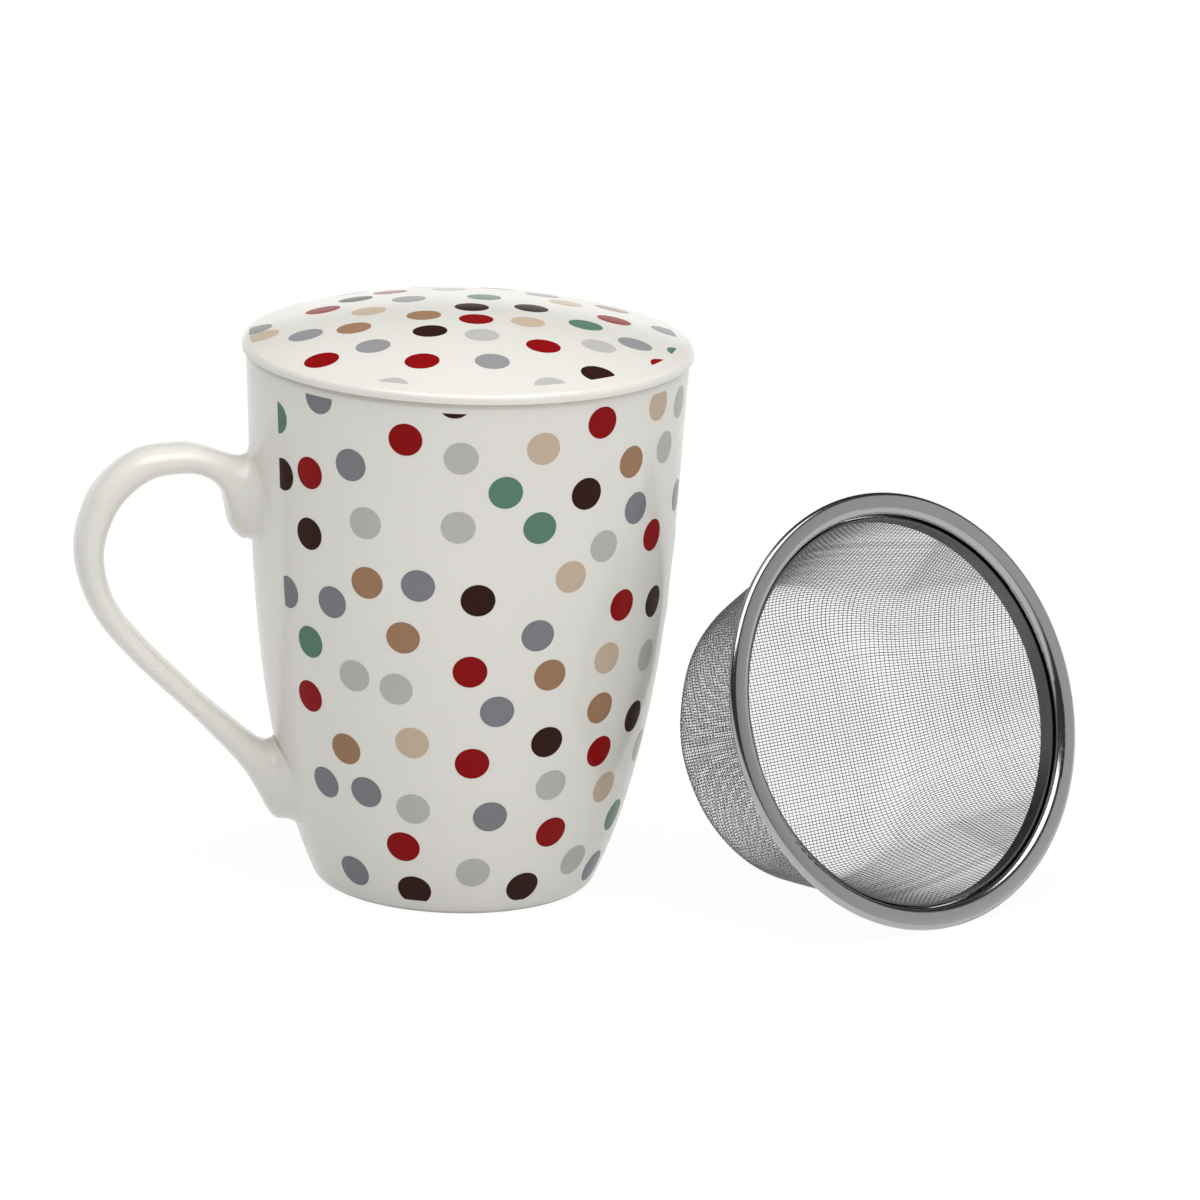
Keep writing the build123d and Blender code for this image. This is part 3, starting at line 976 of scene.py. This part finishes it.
def dot_tree(name, on_lid):
    """Build the tree that scatters, wraps and trims printed dots.

    Its base mesh is the flat layout: the listed dots as loose points, and the region of the
    scattered ones as a face.
    """
    tree, given = new_tree(
        name,
        {"Surface": "Object", "Dot width": "Float", "Dot height": "Float", "Film": "Float",
         "Spacing": "Float", "Seed": "Int", "Low edge": "Float", "High edge": "Float", "Gap": "Float",
         "Print radius": "Float", "Print centre": "Vector", **dict.fromkeys(INKS, "Color"),
         "Material": "Material"},
    )
    position = position_in(tree)
    surface = shape_of(tree, given["Surface"])
    if on_lid:
        on_surface, sheet = place_on_lid(tree, given, surface, position), lid_sheet(tree, given)
        stretch, outward = 1.0, (0.0, 0.0, 1.0)
    else:
        on_surface, sheet = place_on_wall(tree, given, surface, position), wall_sheet(tree, given)
        stretch = math(tree, "DIVIDE", REFERENCE_RADIUS, length_of(tree, level_part(tree, on_surface)))
        outward = vector_math(tree, "NORMALIZE", level_part(tree, position))
    dots = laid_dots(tree, given, flat_dots(tree, given, stretch), position, on_surface, outward)
    trimmed = add_node(tree, "GeometryNodeMeshBoolean", operation="INTERSECT", solver="EXACT")
    for shape in (sheet, dots):
        tree.links.new(shape, trimmed.inputs["Mesh 2"])
    # Give the trimmed dots their ink again, and shade them as the glaze under them.
    ink = at_nearest(tree, dots, stored(tree, "ink", "FLOAT_COLOR"), position, "FLOAT_COLOR")
    inked = store(tree, trimmed.outputs[0], "ink", ink, "FLOAT_COLOR", "FACE")
    shaded = shade_like(tree, inked, surface_shading(tree, surface, position))
    end_tree(tree, shaded, given["Material"])
    return tree


def dot_layout(name, dots, corners):
    """Return the base mesh: the listed dots as loose points, and the scattering region."""
    mesh = bpy.data.meshes.new(name)
    verts = [(x, y, 0.0) for x, y, _ in dots] + [(x, y, 0.0) for x, y in corners]
    mesh.from_pydata(verts, [], [range(len(dots), len(verts))])
    numbers = mesh.attributes.new("ink_number", "INT", "POINT")
    numbers.data.foreach_set("value", [ink for *_, ink in dots] + [-1] * len(corners))
    return mesh


def ink_values(settings):
    """Return the inks as inputs of the tree."""
    return {label: four(getattr(settings, label.lower().replace(" ", "_"))) for label in INKS}


class TEAMUG_OT_print_dots(bpy.types.Operator):
    """Print the dots on the wall and on the lid"""

    bl_idname = "teamug.print_dots"
    bl_label = "Print the Dots"

    def execute(self, context):
        settings = context.scene.tea_mug_print
        shared = {
            "Dot width": settings.dot_width, "Dot height": settings.dot_height, "Film": settings.film,
            "Spacing": settings.spacing, "Seed": settings.seed, "Low edge": settings.sheet_bottom,
            "High edge": settings.sheet_top, "Gap": settings.handle_gap,
            "Print radius": settings.lid_print_radius, "Print centre": settings.lid_print_centre,
            "Material": ink_material(), **ink_values(settings),
        }
        margin = settings.dot_width / 2
        round_wall = [
            (radians(turn) * REFERENCE_RADIUS, height * MM, ink) for turn, height, ink in WALL_DOTS
        ]
        start, end = (radians(turn) * REFERENCE_RADIUS for turn in SCATTER_ROUND_WALL)
        low, high = settings.sheet_bottom - margin / 2, settings.sheet_top + margin / 2
        corners = [(start, low), (end, low), (end, high), (start, high)]
        wall = run_tree(
            "mug_printed_dots", dot_layout("wall_layout", round_wall, corners),
            dot_tree("dots_round_the_wall", False), {"Surface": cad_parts["mug_body"], **shared},
        )
        on_lid = [(x * MM, y * MM, ink) for x, y, ink in LID_DOTS]
        back, middle = settings.lid_print_radius, settings.lid_print_centre
        first, last = SCATTER_ON_LID
        corners = [
            (middle.x + back * cos(radians(turn)), middle.y + back * sin(radians(turn)))
            for turn in range(first, last + 1, SCATTER_ARC_STEP)
        ]
        lid = run_tree(
            "lid_printed_dots", dot_layout("lid_layout", on_lid, corners),
            dot_tree("dots_on_the_lid", True), {"Surface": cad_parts["lid"], **shared},
        )
        for piece, body in ((wall, "mug"), (lid, "lid")):
            for attribute in ("lift", "number", "ink_number"):
                if attribute in piece.data.attributes:
                    piece.data.attributes.remove(piece.data.attributes[attribute])
            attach(piece, body)
        return {"FINISHED"}


# ---------------------------------------------------------------- strainer


def strainer_place():
    """Return the matrix that lays the strainer on its side: z runs out of its mouth."""
    corner_wall = BASKET_FLOOR_RADIUS + BASKET_CORNER_RADIUS * tan(WALL_SLOPE)
    corner_centre = corner_wall - BASKET_CORNER_RADIUS / cos(WALL_SLOPE)
    roll_centre = RIM_RADIUS - RIM_ROLL_RADIUS
    apart = roll_centre - corner_centre
    along = BASKET_DEPTH - BASKET_CORNER_RADIUS - RIM_ROLL_RADIUS
    lean = atan2(apart, along) - asin((BASKET_CORNER_RADIUS - RIM_ROLL_RADIUS) / hypot(apart, along))
    height = roll_centre * cos(lean) + RIM_ROLL_RADIUS * sin(lean) + RIM_ROLL_RADIUS
    normal = Vector((cos(STRAINER_HEADING) * cos(lean), sin(STRAINER_HEADING) * cos(lean), sin(lean)))
    side = Vector((-sin(STRAINER_HEADING), cos(STRAINER_HEADING), 0.0))
    up = normal.cross(side)
    turn = Matrix((side, up, normal)).transposed().to_4x4()
    return Matrix.Translation((*STRAINER_PLACE, height)) @ turn


def meridian_curve():
    """Return a curve down the middle of the cloth: from the centre of the floor to its edge."""
    middle = CLOTH_THICKNESS / 2
    corners = (
        (0.0, -BASKET_DEPTH + middle),
        (BASKET_FLOOR_RADIUS, -BASKET_DEPTH + middle),
        (CLOTH_RADIUS - middle, -NECK_DEPTH),
        (CLOTH_RADIUS - middle, -BAND_DROP),
    )
    curve = bpy.data.curves.new("basket_meridian", "CURVE")
    curve.dimensions = "3D"
    spline = curve.splines.new("POLY")
    spline.points.add(len(corners) - 1)
    for point, (radius, height) in zip(spline.points, corners):
        point.co = (radius, 0.0, height, 1.0)
    line = bpy.data.objects.new("basket_meridian", curve)
    bpy.context.scene.collection.objects.link(line)
    return line


def blank_radius(corner):
    """Return how far the round blank of cloth reaches, measured along the basket's rounded meridian."""
    angle = pi / 2 - WALL_SLOPE
    saved = corner * angle - 2 * corner * tan(angle / 2)
    return BASKET_FLOOR_RADIUS + hypot(WALL_SPREAD, WALL_DEPTH) + NECK_DEPTH - BAND_DROP + saved - HEM


def drape(tree, position, edge):
    """Return how a place on the flat cloth lies once the cloth is pressed into a round basket.

    The wires nearly keep their lengths. They run straight up the wall where they meet it
    squarely, and the cloth shears and gathers between those four places. The result is the longer
    of the place's distances from the two middle wires, its distance along the basket's meridian,
    and its turn from the nearer middle wire.
    """
    x, y, _ = parts_of(tree, vector_math(tree, "ABSOLUTE", position))
    longer, shorter = math(tree, "MAXIMUM", x, y), math(tree, "MINIMUM", x, y)
    distance = length_of(tree, position)
    kept = math(tree, "MINIMUM", longer, edge)
    lean = math(tree, "ARCCOSINE", math(tree, "DIVIDE", kept, edge))
    rise = math(tree, "ARCSINE", math(tree, "MINIMUM", math(tree, "DIVIDE", shorter, edge), 1.0))
    bow = math(
        tree, "SUBTRACT", math(tree, "SINE", math(tree, "MULTIPLY", rise, 2.0)),
        math(tree, "SINE", math(tree, "MULTIPLY", lean, 2.0)),
    )
    turn_on_wall = math(
        tree, "MULTIPLY_ADD", math(tree, "ADD", lean, rise), 0.5, math(tree, "MULTIPLY", bow, 0.25)
    )
    squares = math(
        tree, "ADD", math(tree, "MULTIPLY", edge, edge),
        math(tree, "ADD", math(tree, "MULTIPLY", kept, kept), math(tree, "MULTIPLY", shorter, shorter)),
    )
    along_wall = math(
        tree, "ADD", math(tree, "SUBTRACT", longer, kept),
        math(tree, "DIVIDE", squares, math(tree, "MULTIPLY", edge, 2.0)),
    )
    on_floor = math(tree, "LESS_THAN", distance, edge)
    turn_on_floor = math(tree, "ARCTAN2", shorter, longer)
    evenly = math(tree, "MAXIMUM", on_floor, GATHERING)
    turn = math(
        tree, "MULTIPLY_ADD", evenly, math(tree, "SUBTRACT", turn_on_floor, turn_on_wall), turn_on_wall
    )
    along = math(tree, "MULTIPLY_ADD", evenly, math(tree, "SUBTRACT", distance, along_wall), along_wall)
    return longer, along, turn


def heading_of(tree, position, longer, turn):
    """Return the level direction of a place from its turn off the nearer middle wire."""
    x, y, _ = parts_of(tree, position)
    across = math(tree, "COMPARE", math(tree, "ABSOLUTE", x), longer, SAME)
    near, off = math(tree, "COSINE", turn), math(tree, "SINE", turn)
    gain = math(tree, "SUBTRACT", near, off)
    return vector(
        tree,
        math(tree, "MULTIPLY", math(tree, "SIGN", x), math(tree, "MULTIPLY_ADD", across, gain, off)),
        math(
            tree, "MULTIPLY", math(tree, "SIGN", y),
            math(tree, "SUBTRACT", near, math(tree, "MULTIPLY", across, gain)),
        ),
    )


def flat_wires(tree, given):
    """Return the flat wires that run one way, passing over and under the others."""
    width = math(tree, "MULTIPLY", given["Blank radius"], 2.0)
    blank = add_node(
        tree, "GeometryNodeMeshGrid",
        {"Size X": width, "Size Y": width, "Vertices X": given["Columns"], "Vertices Y": given["Rows"]},
    ).outputs[0]
    # Every second crossing goes over, and the others go under.
    index = tree.nodes.new("GeometryNodeInputIndex").outputs[0]
    column = math(tree, "FLOOR", math(tree, "DIVIDE", index, given["Rows"]))
    row = math(tree, "MODULO", index, given["Rows"])
    odd = math(tree, "MODULO", math(tree, "ADD", column, row), 2.0)
    side = math(tree, "SUBTRACT", math(tree, "MULTIPLY", math(tree, "ABSOLUTE", odd), 2.0), 1.0)
    way = math(tree, "SUBTRACT", math(tree, "MULTIPLY", given["Across"], 2.0), 1.0)
    half_wire = math(tree, "MULTIPLY", given["Wire"], 0.5)
    over = math(tree, "MULTIPLY", math(tree, "MULTIPLY", side, way), half_wire)
    marked = store(tree, blank, "over", over, "FLOAT")
    ends = tree.nodes.new("GeometryNodeInputMeshEdgeVertices").outputs
    edge = vector_math(tree, "SUBTRACT", ends["Position 1"], ends["Position 2"])
    edge_x, edge_y, _ = parts_of(tree, vector_math(tree, "ABSOLUTE", edge))
    runs_across = math(tree, "GREATER_THAN", edge_x, edge_y)
    differs = math(tree, "ABSOLUTE", math(tree, "SUBTRACT", runs_across, given["Across"]))
    return without(tree, marked, math(tree, "GREATER_THAN", differs, 0.5), "EDGE", "EDGE_FACE")


def press(tree, given, position, longer, distance, turn):
    """Lay draped places along the basket's meridian.

    The result is each place and its inward direction. Where the basket is wider than the edge
    radius, the wires near the four middle ones keep their spacing and the others open up.
    """
    meridian = add_node(
        tree, "GeometryNodeFilletCurve",
        {"Curve": shape_of(tree, given["Meridian"]), "Radius": given["Corner radius"],
         "Count": CORNER_STEPS, "Limit Radius": True},
        mode="POLY",
    ).outputs[0]
    sample = add_node(
        tree, "GeometryNodeSampleCurve", {"Curves": meridian, "Length": distance}, mode="LENGTH"
    ).outputs
    radius, _, height = parts_of(tree, sample["Position"])
    widened = math(tree, "MAXIMUM", radius, given["Edge radius"])
    widening = math(tree, "SUBTRACT", 1.0, math(tree, "DIVIDE", given["Edge radius"], widened))
    spread = math(tree, "MULTIPLY", widening, math(tree, "SINE", math(tree, "MULTIPLY", turn, 4.0)))
    turn = math(tree, "SUBTRACT", turn, math(tree, "MULTIPLY", spread, 0.25))
    heading = heading_of(tree, position, longer, turn)
    pressed = vector_math(
        tree, "ADD", vector_math(tree, "SCALE", heading, scale=radius), vector(tree, z=height)
    )
    outward, _, upward = parts_of(tree, sample["Tangent"])
    sideways = vector_math(tree, "SCALE", heading, scale=math(tree, "MULTIPLY", upward, -1.0))
    return pressed, vector_math(tree, "ADD", sideways, vector(tree, z=outward))


def fold_bulge(tree, given, position, distance):
    """Return how far soft folds bulge. They are deepest round the basket's corner."""
    folds = add_node(
        tree, "ShaderNodeTexNoise",
        {"Vector": position, "W": given["Fold seed"], "Scale": FOLD_SCALE, "Detail": 1.0},
        noise_dimensions="4D",
    ).outputs[0]
    swell = math(tree, "MULTIPLY", math(tree, "SUBTRACT", folds, 0.5), 2.0)
    off_corner = math(tree, "ABSOLUTE", math(tree, "SUBTRACT", distance, BASKET_FLOOR_RADIUS))
    nearness = fade_out(tree, off_corner, 0.0, FOLD_REACH)
    return math(tree, "MULTIPLY", math(tree, "MULTIPLY", swell, nearness), given["Fold depth"])


def weave_tree():
    """Build the tree that weaves one set of wires flat, and presses them into the basket."""
    tree, given = new_tree(
        "pressed_wire_cloth",
        {"Meridian": "Object", "Corner radius": "Float", "Edge radius": "Float", "Blank radius": "Float",
         "Wire": "Float", "Rows": "Int", "Columns": "Int", "Across": "Bool", "Fold depth": "Float",
         "Fold seed": "Float", "Material": "Material"},
    )
    position = position_in(tree)
    longer, distance, turn = drape(tree, position, given["Edge radius"])
    outside = math(tree, "GREATER_THAN", distance, given["Blank radius"])
    blank = without(tree, flat_wires(tree, given), outside, "POINT")
    wires = add_node(tree, "GeometryNodeMeshToCurve", {"Mesh": blank}).outputs[0]
    pressed, inward = press(tree, given, position, longer, distance, turn)
    rise = math(tree, "ADD", stored(tree, "over", "FLOAT"), fold_bulge(tree, given, position, distance))
    place = vector_math(tree, "ADD", pressed, vector_math(tree, "SCALE", inward, scale=rise))
    shaped = add_node(tree, "GeometryNodeSetPosition", {"Geometry": wires, "Position": place}).outputs[0]
    section = add_node(
        tree, "GeometryNodeCurvePrimitiveCircle",
        {"Resolution": WIRE_SIDES, "Radius": math(tree, "MULTIPLY", given["Wire"], 0.5)}, mode="RADIUS",
    ).outputs[0]
    drawn = add_node(
        tree, "GeometryNodeCurveToMesh", {"Curve": shaped, "Profile Curve": section, "Fill Caps": True}
    ).outputs[0]
    end_tree(tree, smoothed(tree, drawn), given["Material"])
    return tree


def wire_material(settings):
    """Drawn stainless wire, a little duller in some places than in others."""
    material, tree, shader = new_material("stainless_wire")
    patch = varied(tree, noise(tree, object_place(tree), WIRE_PATCHES, detail=3.0), 0, 1)
    feed(tree, shader.inputs["Base Color"], mottled(tree, patch, settings.wire_colour, WIRE_TONES))
    feed(tree, shader.inputs["Roughness"], span(tree, patch, 0, 1, *WIRE_ROUGHNESS))
    shader.inputs["Metallic"].default_value = WIRE_METALNESS
    return material


def pressed_steel_material(settings, name, polish, tone, dish):
    """Pressed sheet with fine turning lines round the strainer's axis, a little dished and crowned; a tone
    below 1 paints shade into its colour.
    """
    material, tree, shader = new_material(name)
    place = object_place(tree)
    matrix = strainer_place().inverted()
    x, y, z = parts_of(
        tree,
        add_node(
            tree, "ShaderNodeMapping",
            {"Vector": place, "Location": matrix.to_translation(), "Rotation": matrix.to_euler()},
            vector_type="POINT",
        ).outputs[0],
    )
    radius = length_of(tree, vector(tree, x, y))
    lines = noise(tree, vector(tree, radius, z), TURNING_LINES)
    # tone scales the steel's colour down; below 1 it is painted shade, a darker copy of the same steel
    tones = [share * tone for share in STEEL_TONES]
    feed(
        tree, shader.inputs["Base Color"],
        mottled(tree, varied(tree, lines, 0, 1), settings.steel, tones),
    )
    patch = noise(tree, place, STEEL_PATCHES, detail=3.0)
    patch = varied(tree, patch, *(polish + step for step in STEEL_STRAYING))
    rough = math(tree, "ADD", patch, math(tree, "MULTIPLY", lines, LINE_ROUGHNESS))
    feed(tree, shader.inputs["Roughness"], rough)
    scratched = add_node(
        tree, "ShaderNodeBump", {"Strength": 0.05, "Distance": 0.00005, "Height": lines}
    )
    off_middle = math(tree, "SUBTRACT", radius, (RIM_RADIUS + NECK_INNER_RADIUS) / 2)
    crown = math(tree, "MULTIPLY", math(tree, "MULTIPLY", off_middle, off_middle), -dish * CROWN)
    slope = math(tree, "MULTIPLY_ADD", off_middle, -dish, crown)
    shaped = add_node(
        tree, "ShaderNodeBump",
        {"Strength": 1.0, "Distance": 1.0, "Height": slope, "Normal": scratched.outputs[0]},
    )
    feed(tree, shader.inputs["Normal"], shaped.outputs[0])
    shader.inputs["Metallic"].default_value = 1.0
    return material


class TEAMUG_OT_weave_basket(bpy.types.Operator):
    """Weave the strainer's wire basket"""

    bl_idname = "teamug.weave_basket"
    bl_label = "Weave the Basket"

    def execute(self, context):
        settings = context.scene.tea_mug_strainer
        line = meridian_curve()
        corner = BASKET_CORNER_RADIUS - CLOTH_THICKNESS / 2
        blank = blank_radius(corner)
        shared = {
            "Meridian": line, "Corner radius": corner, "Edge radius": CLOTH_EDGE_RADIUS,
            "Blank radius": blank, "Wire": settings.wire,
            "Rows": 2 * ceil(blank / settings.row_pitch) + 1,
            "Columns": 2 * ceil(blank / settings.column_pitch) + 1,
            "Fold depth": settings.fold_depth, "Fold seed": FOLD_SEED,
            "Material": wire_material(settings),
        }
        tree = weave_tree()
        place = strainer_place()
        for name, across in (("strainer_cross_wires", True), ("strainer_long_wires", False)):
            piece = run_tree(name, bpy.data.meshes.new(name), tree, {"Across": across, **shared})
            piece.data.transform(place)
            piece.data.attributes.remove(piece.data.attributes["over"])
            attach(piece, "strainer")
            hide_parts("strainer_basket")
        bpy.data.objects.remove(line)
        return {"FINISHED"}


class TEAMUG_OT_polish_steel(bpy.types.Operator):
    """Finish the strainer's rim and its clamping band"""

    bl_idname = "teamug.polish_steel"
    bl_label = "Polish the Steel"

    def execute(self, context):
        settings = context.scene.tea_mug_strainer
        rim = pressed_steel_material(settings, "polished_rim", polish=0.12, tone=1.0, dish=0.05)
        # The band's tone of 0.4 is painted shade: its steel is painted dark for the dark surroundings it
        # mirrors.
        band = pressed_steel_material(settings, "brushed_band", polish=0.3, tone=0.4, dish=0.0)
        set_slots("strainer_rim", rim)
        set_slots("strainer_band", band)
        return {"FINISHED"}


# ---------------------------------------------------------------- stage


def add_camera():
    """Place the camera."""
    data = bpy.data.cameras.new("camera")
    data.sensor_fit = "HORIZONTAL"
    data.sensor_width = SENSOR_WIDTH
    data.lens = LENS
    camera = bpy.data.objects.new("camera", data)
    bpy.context.scene.collection.objects.link(camera)
    level = Matrix.Rotation(CAMERA_BEARING, 4, "Z")
    turn = (
        Matrix.Rotation(-CAMERA_YAW, 4, "Z") @ Matrix.Rotation(pi / 2 - CAMERA_PITCH, 4, "X")
        @ Matrix.Rotation(CAMERA_ROLL, 4, "Z")
    )
    camera.matrix_world = level @ Matrix.Translation((0.0, -CAMERA_DISTANCE, CAMERA_HEIGHT)) @ turn
    bpy.context.scene.camera = camera


def add_lamp(name, place, size, power):
    """Add a soft rectangular light that faces the object."""
    data = bpy.data.lights.new(name, "AREA")
    data.shape = "RECTANGLE"
    data.size, data.size_y = size
    data.energy = power
    lamp = bpy.data.objects.new(name, data)
    bpy.context.scene.collection.objects.link(lamp)
    lamp.location = place
    lamp.rotation_euler = (Vector(LIGHT_TARGET) - Vector(place)).to_track_quat("-Z", "Y").to_euler()
    return lamp


def plane_mesh(name, half):
    """Return a square mesh round the origin."""
    mesh = bpy.data.meshes.new(name)
    mesh.from_pydata(
        [(-half, -half, 0), (half, -half, 0), (half, half, 0), (-half, half, 0)], [], [(0, 1, 2, 3)]
    )
    return mesh


def seen_directly(tree):
    """Return 1 for rays that show the background itself: straight, mirrored or through glass."""
    path = tree.nodes.new("ShaderNodeLightPath")
    mirrored = math(tree, "MAXIMUM", path.outputs["Is Camera Ray"], path.outputs["Is Glossy Ray"])
    return math(tree, "MAXIMUM", mirrored, path.outputs["Is Transmission Ray"])


def add_floor():
    """Lay a white table that keeps a faint shadow and reflection."""
    floor = link_piece("table", plane_mesh("table", TABLE_SIZE / 2))
    material, tree, shader = new_material("white_table")
    shader.inputs["Base Color"].default_value = four(WHITE, TABLE_TONE)
    shader.inputs["Roughness"].default_value = TABLE_ROUGHNESS
    glow = add_node(tree, "ShaderNodeEmission", {"Color": WHITE, "Strength": TABLE_GLOW})
    share = math(tree, "MULTIPLY", seen_directly(tree), TABLE_GLOW_SHARE)
    mixed = add_node(tree, "ShaderNodeMixShader", {0: share, 1: shader.outputs[0], 2: glow.outputs[0]})
    tree.links.new(mixed.outputs[0], tree.nodes["Material Output"].inputs["Surface"])
    floor.data.materials.append(material)


def light_room(settings):
    """Light the room evenly, show it as plain white, and let gloss mirror it as a studio.

    The studio has a white sweep near the ground, a grey card on the right and a dark rest.
    """
    world = bpy.data.worlds.new("studio")
    world.use_nodes = True
    bpy.context.scene.world = world
    tree = world.node_tree
    background = tree.nodes["Background"]
    background.inputs["Color"].default_value = WHITE
    direction = vector_math(tree, "NORMALIZE", object_place(tree))
    sweep = fade_out(tree, parts_of(tree, direction)[2], *(sin(turn) for turn in SWEEP_TOP))
    facing = vector_math(tree, "DOT_PRODUCT", direction, CARD_DIRECTION).node.outputs["Value"]
    card = fade_out(tree, facing, *(cos(turn) for turn in CARD_EDGE))
    card = math(tree, "MULTIPLY", card, settings.mirrored_card)
    mirrored = math(tree, "MAXIMUM", math(tree, "MAXIMUM", sweep, card), settings.mirrored_room)
    path = tree.nodes.new("ShaderNodeLightPath").outputs
    straight = math(tree, "MAXIMUM", path["Is Camera Ray"], path["Is Transmission Ray"])
    more = math(tree, "SUBTRACT", mirrored, settings.ambient)
    lit = math(tree, "MULTIPLY_ADD", path["Is Glossy Ray"], more, settings.ambient)
    feed(tree, background.inputs["Strength"], math(tree, "MAXIMUM", straight, lit))


class TEAMUG_OT_set_stage(bpy.types.Operator):
    """Set up the table, the lights and the camera"""

    bl_idname = "teamug.set_stage"
    bl_label = "Set the Stage"

    def execute(self, context):
        settings = context.scene.tea_mug_stage
        add_camera()
        add_floor()
        light_room(settings)
        add_lamp("main_light", *MAIN_LIGHT, settings.key_power)
        side = add_lamp("side_light", *SIDE_LIGHT, settings.fill_power)
        side.visible_glossy = False
        context.scene.view_settings.view_transform = "Standard"
        return {"FINISHED"}


# ---------------------------------------------------------------- add-on


class TEAMUG_PT_sidebar(bpy.types.Panel):
    """Lists the steps that make the tea mug"""

    bl_idname = "TEAMUG_PT_sidebar"
    bl_label = "Tea Mug"
    bl_space_type = "VIEW_3D"
    bl_region_type = "UI"
    bl_category = "Tea Mug"

    def draw(self, context):
        for group in SETTINGS:
            box = self.layout.box()
            settings = getattr(context.scene, group)
            for name in settings.bl_rna.properties.keys():
                if name not in ("rna_type", "name"):
                    box.prop(settings, name)
        for operator in OPERATORS:
            self.layout.operator(operator.bl_idname)


SETTINGS = {
    "tea_mug_glaze": GlazeSettings,
    "tea_mug_print": PrintSettings,
    "tea_mug_handle": HandleSettings,
    "tea_mug_strainer": StrainerSettings,
    "tea_mug_stage": StageSettings,
}
OPERATORS = (
    TEAMUG_OT_set_stage,
    TEAMUG_OT_glaze_porcelain,
    TEAMUG_OT_add_handle,
    TEAMUG_OT_print_dots,
    TEAMUG_OT_weave_basket,
    TEAMUG_OT_polish_steel,
)


def register():
    """Register the classes and the settings."""
    for settings in SETTINGS.values():
        bpy.utils.register_class(settings)
    for name, settings in SETTINGS.items():
        setattr(bpy.types.Scene, name, PointerProperty(type=settings))
    for operator in OPERATORS:
        bpy.utils.register_class(operator)
    bpy.utils.register_class(TEAMUG_PT_sidebar)


def unregister():
    """Take the classes and the settings away again."""
    bpy.utils.unregister_class(TEAMUG_PT_sidebar)
    for operator in reversed(OPERATORS):
        bpy.utils.unregister_class(operator)
    for name in SETTINGS:
        delattr(bpy.types.Scene, name)
    for settings in reversed(SETTINGS.values()):
        bpy.utils.unregister_class(settings)


def main():
    """Make every piece in order."""
    register()
    bpy.ops.teamug.set_stage()
    bpy.ops.teamug.glaze_porcelain()
    bpy.ops.teamug.add_handle()
    bpy.ops.teamug.print_dots()
    bpy.ops.teamug.weave_basket()
    bpy.ops.teamug.polish_steel()


if __name__ == "__main__":
    main()
